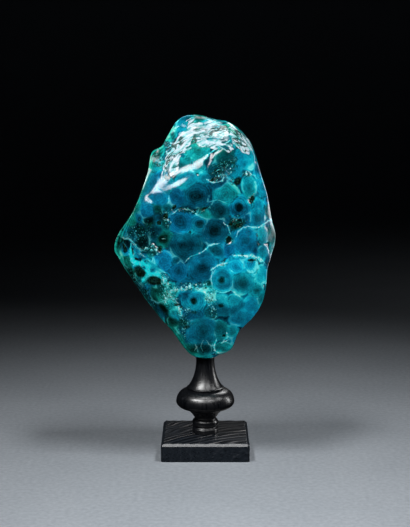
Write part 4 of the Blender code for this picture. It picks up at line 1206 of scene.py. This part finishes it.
def matt_paint():
    """Matt emulsion on board. It gives the eye an even pale grey, faintly mottled by the roller."""
    material, tree, shader = new_material("matt painted floor")
    place = add(tree, COORDINATES)["Object"]
    smear = add(tree, NOISE, None, {"Vector": place, "Scale": 1 / (70 * MM), "Detail": 4.0})[0]
    stipple = add(tree, NOISE, None, {"Vector": place, "Scale": 1 / (3 * MM), "Detail": 3.0})[0]
    mottle = add(tree, RANGE, None, (smear, 0.0, 1.0, -0.2, 0.2))[0]
    mottle = add(tree, MATH, PLUS, (mottle, stipple))[0]
    stops = ((0.2, "A6ADB5"), (0.8, "BFC5CC"))
    tree.links.new(add(tree, RAMP, None, (mottle,), stops)[0], shader["Base Color"])
    shader["Roughness"].default_value = 0.7
    return material


def add_camera():
    """A camera at the photograph's height, distance and pitch."""
    data = bpy.data.cameras.new("camera")
    data.sensor_fit = "VERTICAL"
    data.sensor_height = SENSOR_HEIGHT
    data.lens = FOCAL_PIXELS / PICTURE_HEIGHT * SENSOR_HEIGHT
    data.clip_end = 20
    camera = bpy.data.objects.new("camera", data)
    camera.location = CAMERA_PLACE
    camera.rotation_euler = (math.radians(90 - CAMERA_PITCH), 0, 0)
    bpy.context.scene.collection.objects.link(camera)
    bpy.context.scene.camera = camera


def add_stage():
    """A plain pale floor that curves up behind into a backdrop."""
    profile = [(STAGE_NEAR, 0.0)]
    for step in range(STAGE_STEPS + 1):
        angle = TURN / 4 * step / STAGE_STEPS
        rise = STAGE_RADIUS * (1 - math.cos(angle))
        profile.append((STAGE_BEND + STAGE_RADIUS * math.sin(angle), rise))
    profile.append((STAGE_BEND + STAGE_RADIUS, STAGE_TOP))
    points = [(side * STAGE_WIDTH / 2, y, z) for y, z in profile for side in (-1, 1)]
    faces = [(2 * i, 2 * i + 1, 2 * i + 3, 2 * i + 2) for i in range(len(profile) - 1)]
    mesh = bpy.data.meshes.new("floor")
    mesh.from_pydata(points, [], faces)
    mesh.shade_smooth()
    floor = new_piece("floor", mesh, matt_paint())
    floor.visible_glossy = False
    return floor


def add_lights(groups):
    """The lamps, each of which lights only the pieces in its own group, and a dim room."""
    world = bpy.data.worlds.new("studio")
    world.use_nodes = True
    room = world.node_tree.nodes["Background"].inputs
    room["Color"].default_value = colour(ROOM_COLOUR)
    room["Strength"].default_value = ROOM_STRENGTH
    bpy.context.scene.world = world
    for name, place, size, power, spread, lit, mirrored, target in LAMPS:
        data = bpy.data.lights.new(name, "AREA")
        data.shape = "RECTANGLE"
        data.size, data.size_y = size
        data.energy = power
        data.spread = math.radians(spread)
        lamp = bpy.data.objects.new(name, data)
        lamp.location = place
        lamp.rotation_euler = (Vector(target) - Vector(place)).to_track_quat("-Z", "Y").to_euler()
        lamp.visible_camera = False
        lamp.visible_glossy = mirrored
        lamp.light_linking.receiver_collection = groups[lit]
        bpy.context.scene.collection.objects.link(lamp)


add_camera()
parts = ("stone", "stand", "whole piece", "ground")
groups = {name: bpy.data.collections.new("the " + name) for name in parts}
groups["ground"].objects.link(add_stage())
add_lights(groups)
bpy.context.scene.view_settings.view_transform = "Standard"
noise.seed_set(NOISE_SEED)
nugget = make_nugget(chrysocolla())
grains = make_grains(nugget, crust_mineral())
stem = make_stem(ebonised_wood("waxed ebonised hardwood", STEM_BLACKS, 0.40))
plinth = make_plinth(ebonised_wood("satin ebonised hardwood", PLINTH_BLACKS_AND_SHEEN, 0.42))
for piece, node, slot, group in (
    (nugget, "stone", "chrysocolla", "stone"),
    (grains, None, "chrysocolla", "stone"),
    (stem, "stem", "ebonised_wood", "stand"),
    (plinth, "plinth", "ebonised_wood", "stand"),
):
    groups[group].objects.link(piece)
    groups["whole piece"].objects.link(piece)
    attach(piece, "root")
    if node:
        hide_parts(node)

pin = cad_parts["mounting_pin"]
for slot in pin.material_slots:
    slot.material = drawn_steel()
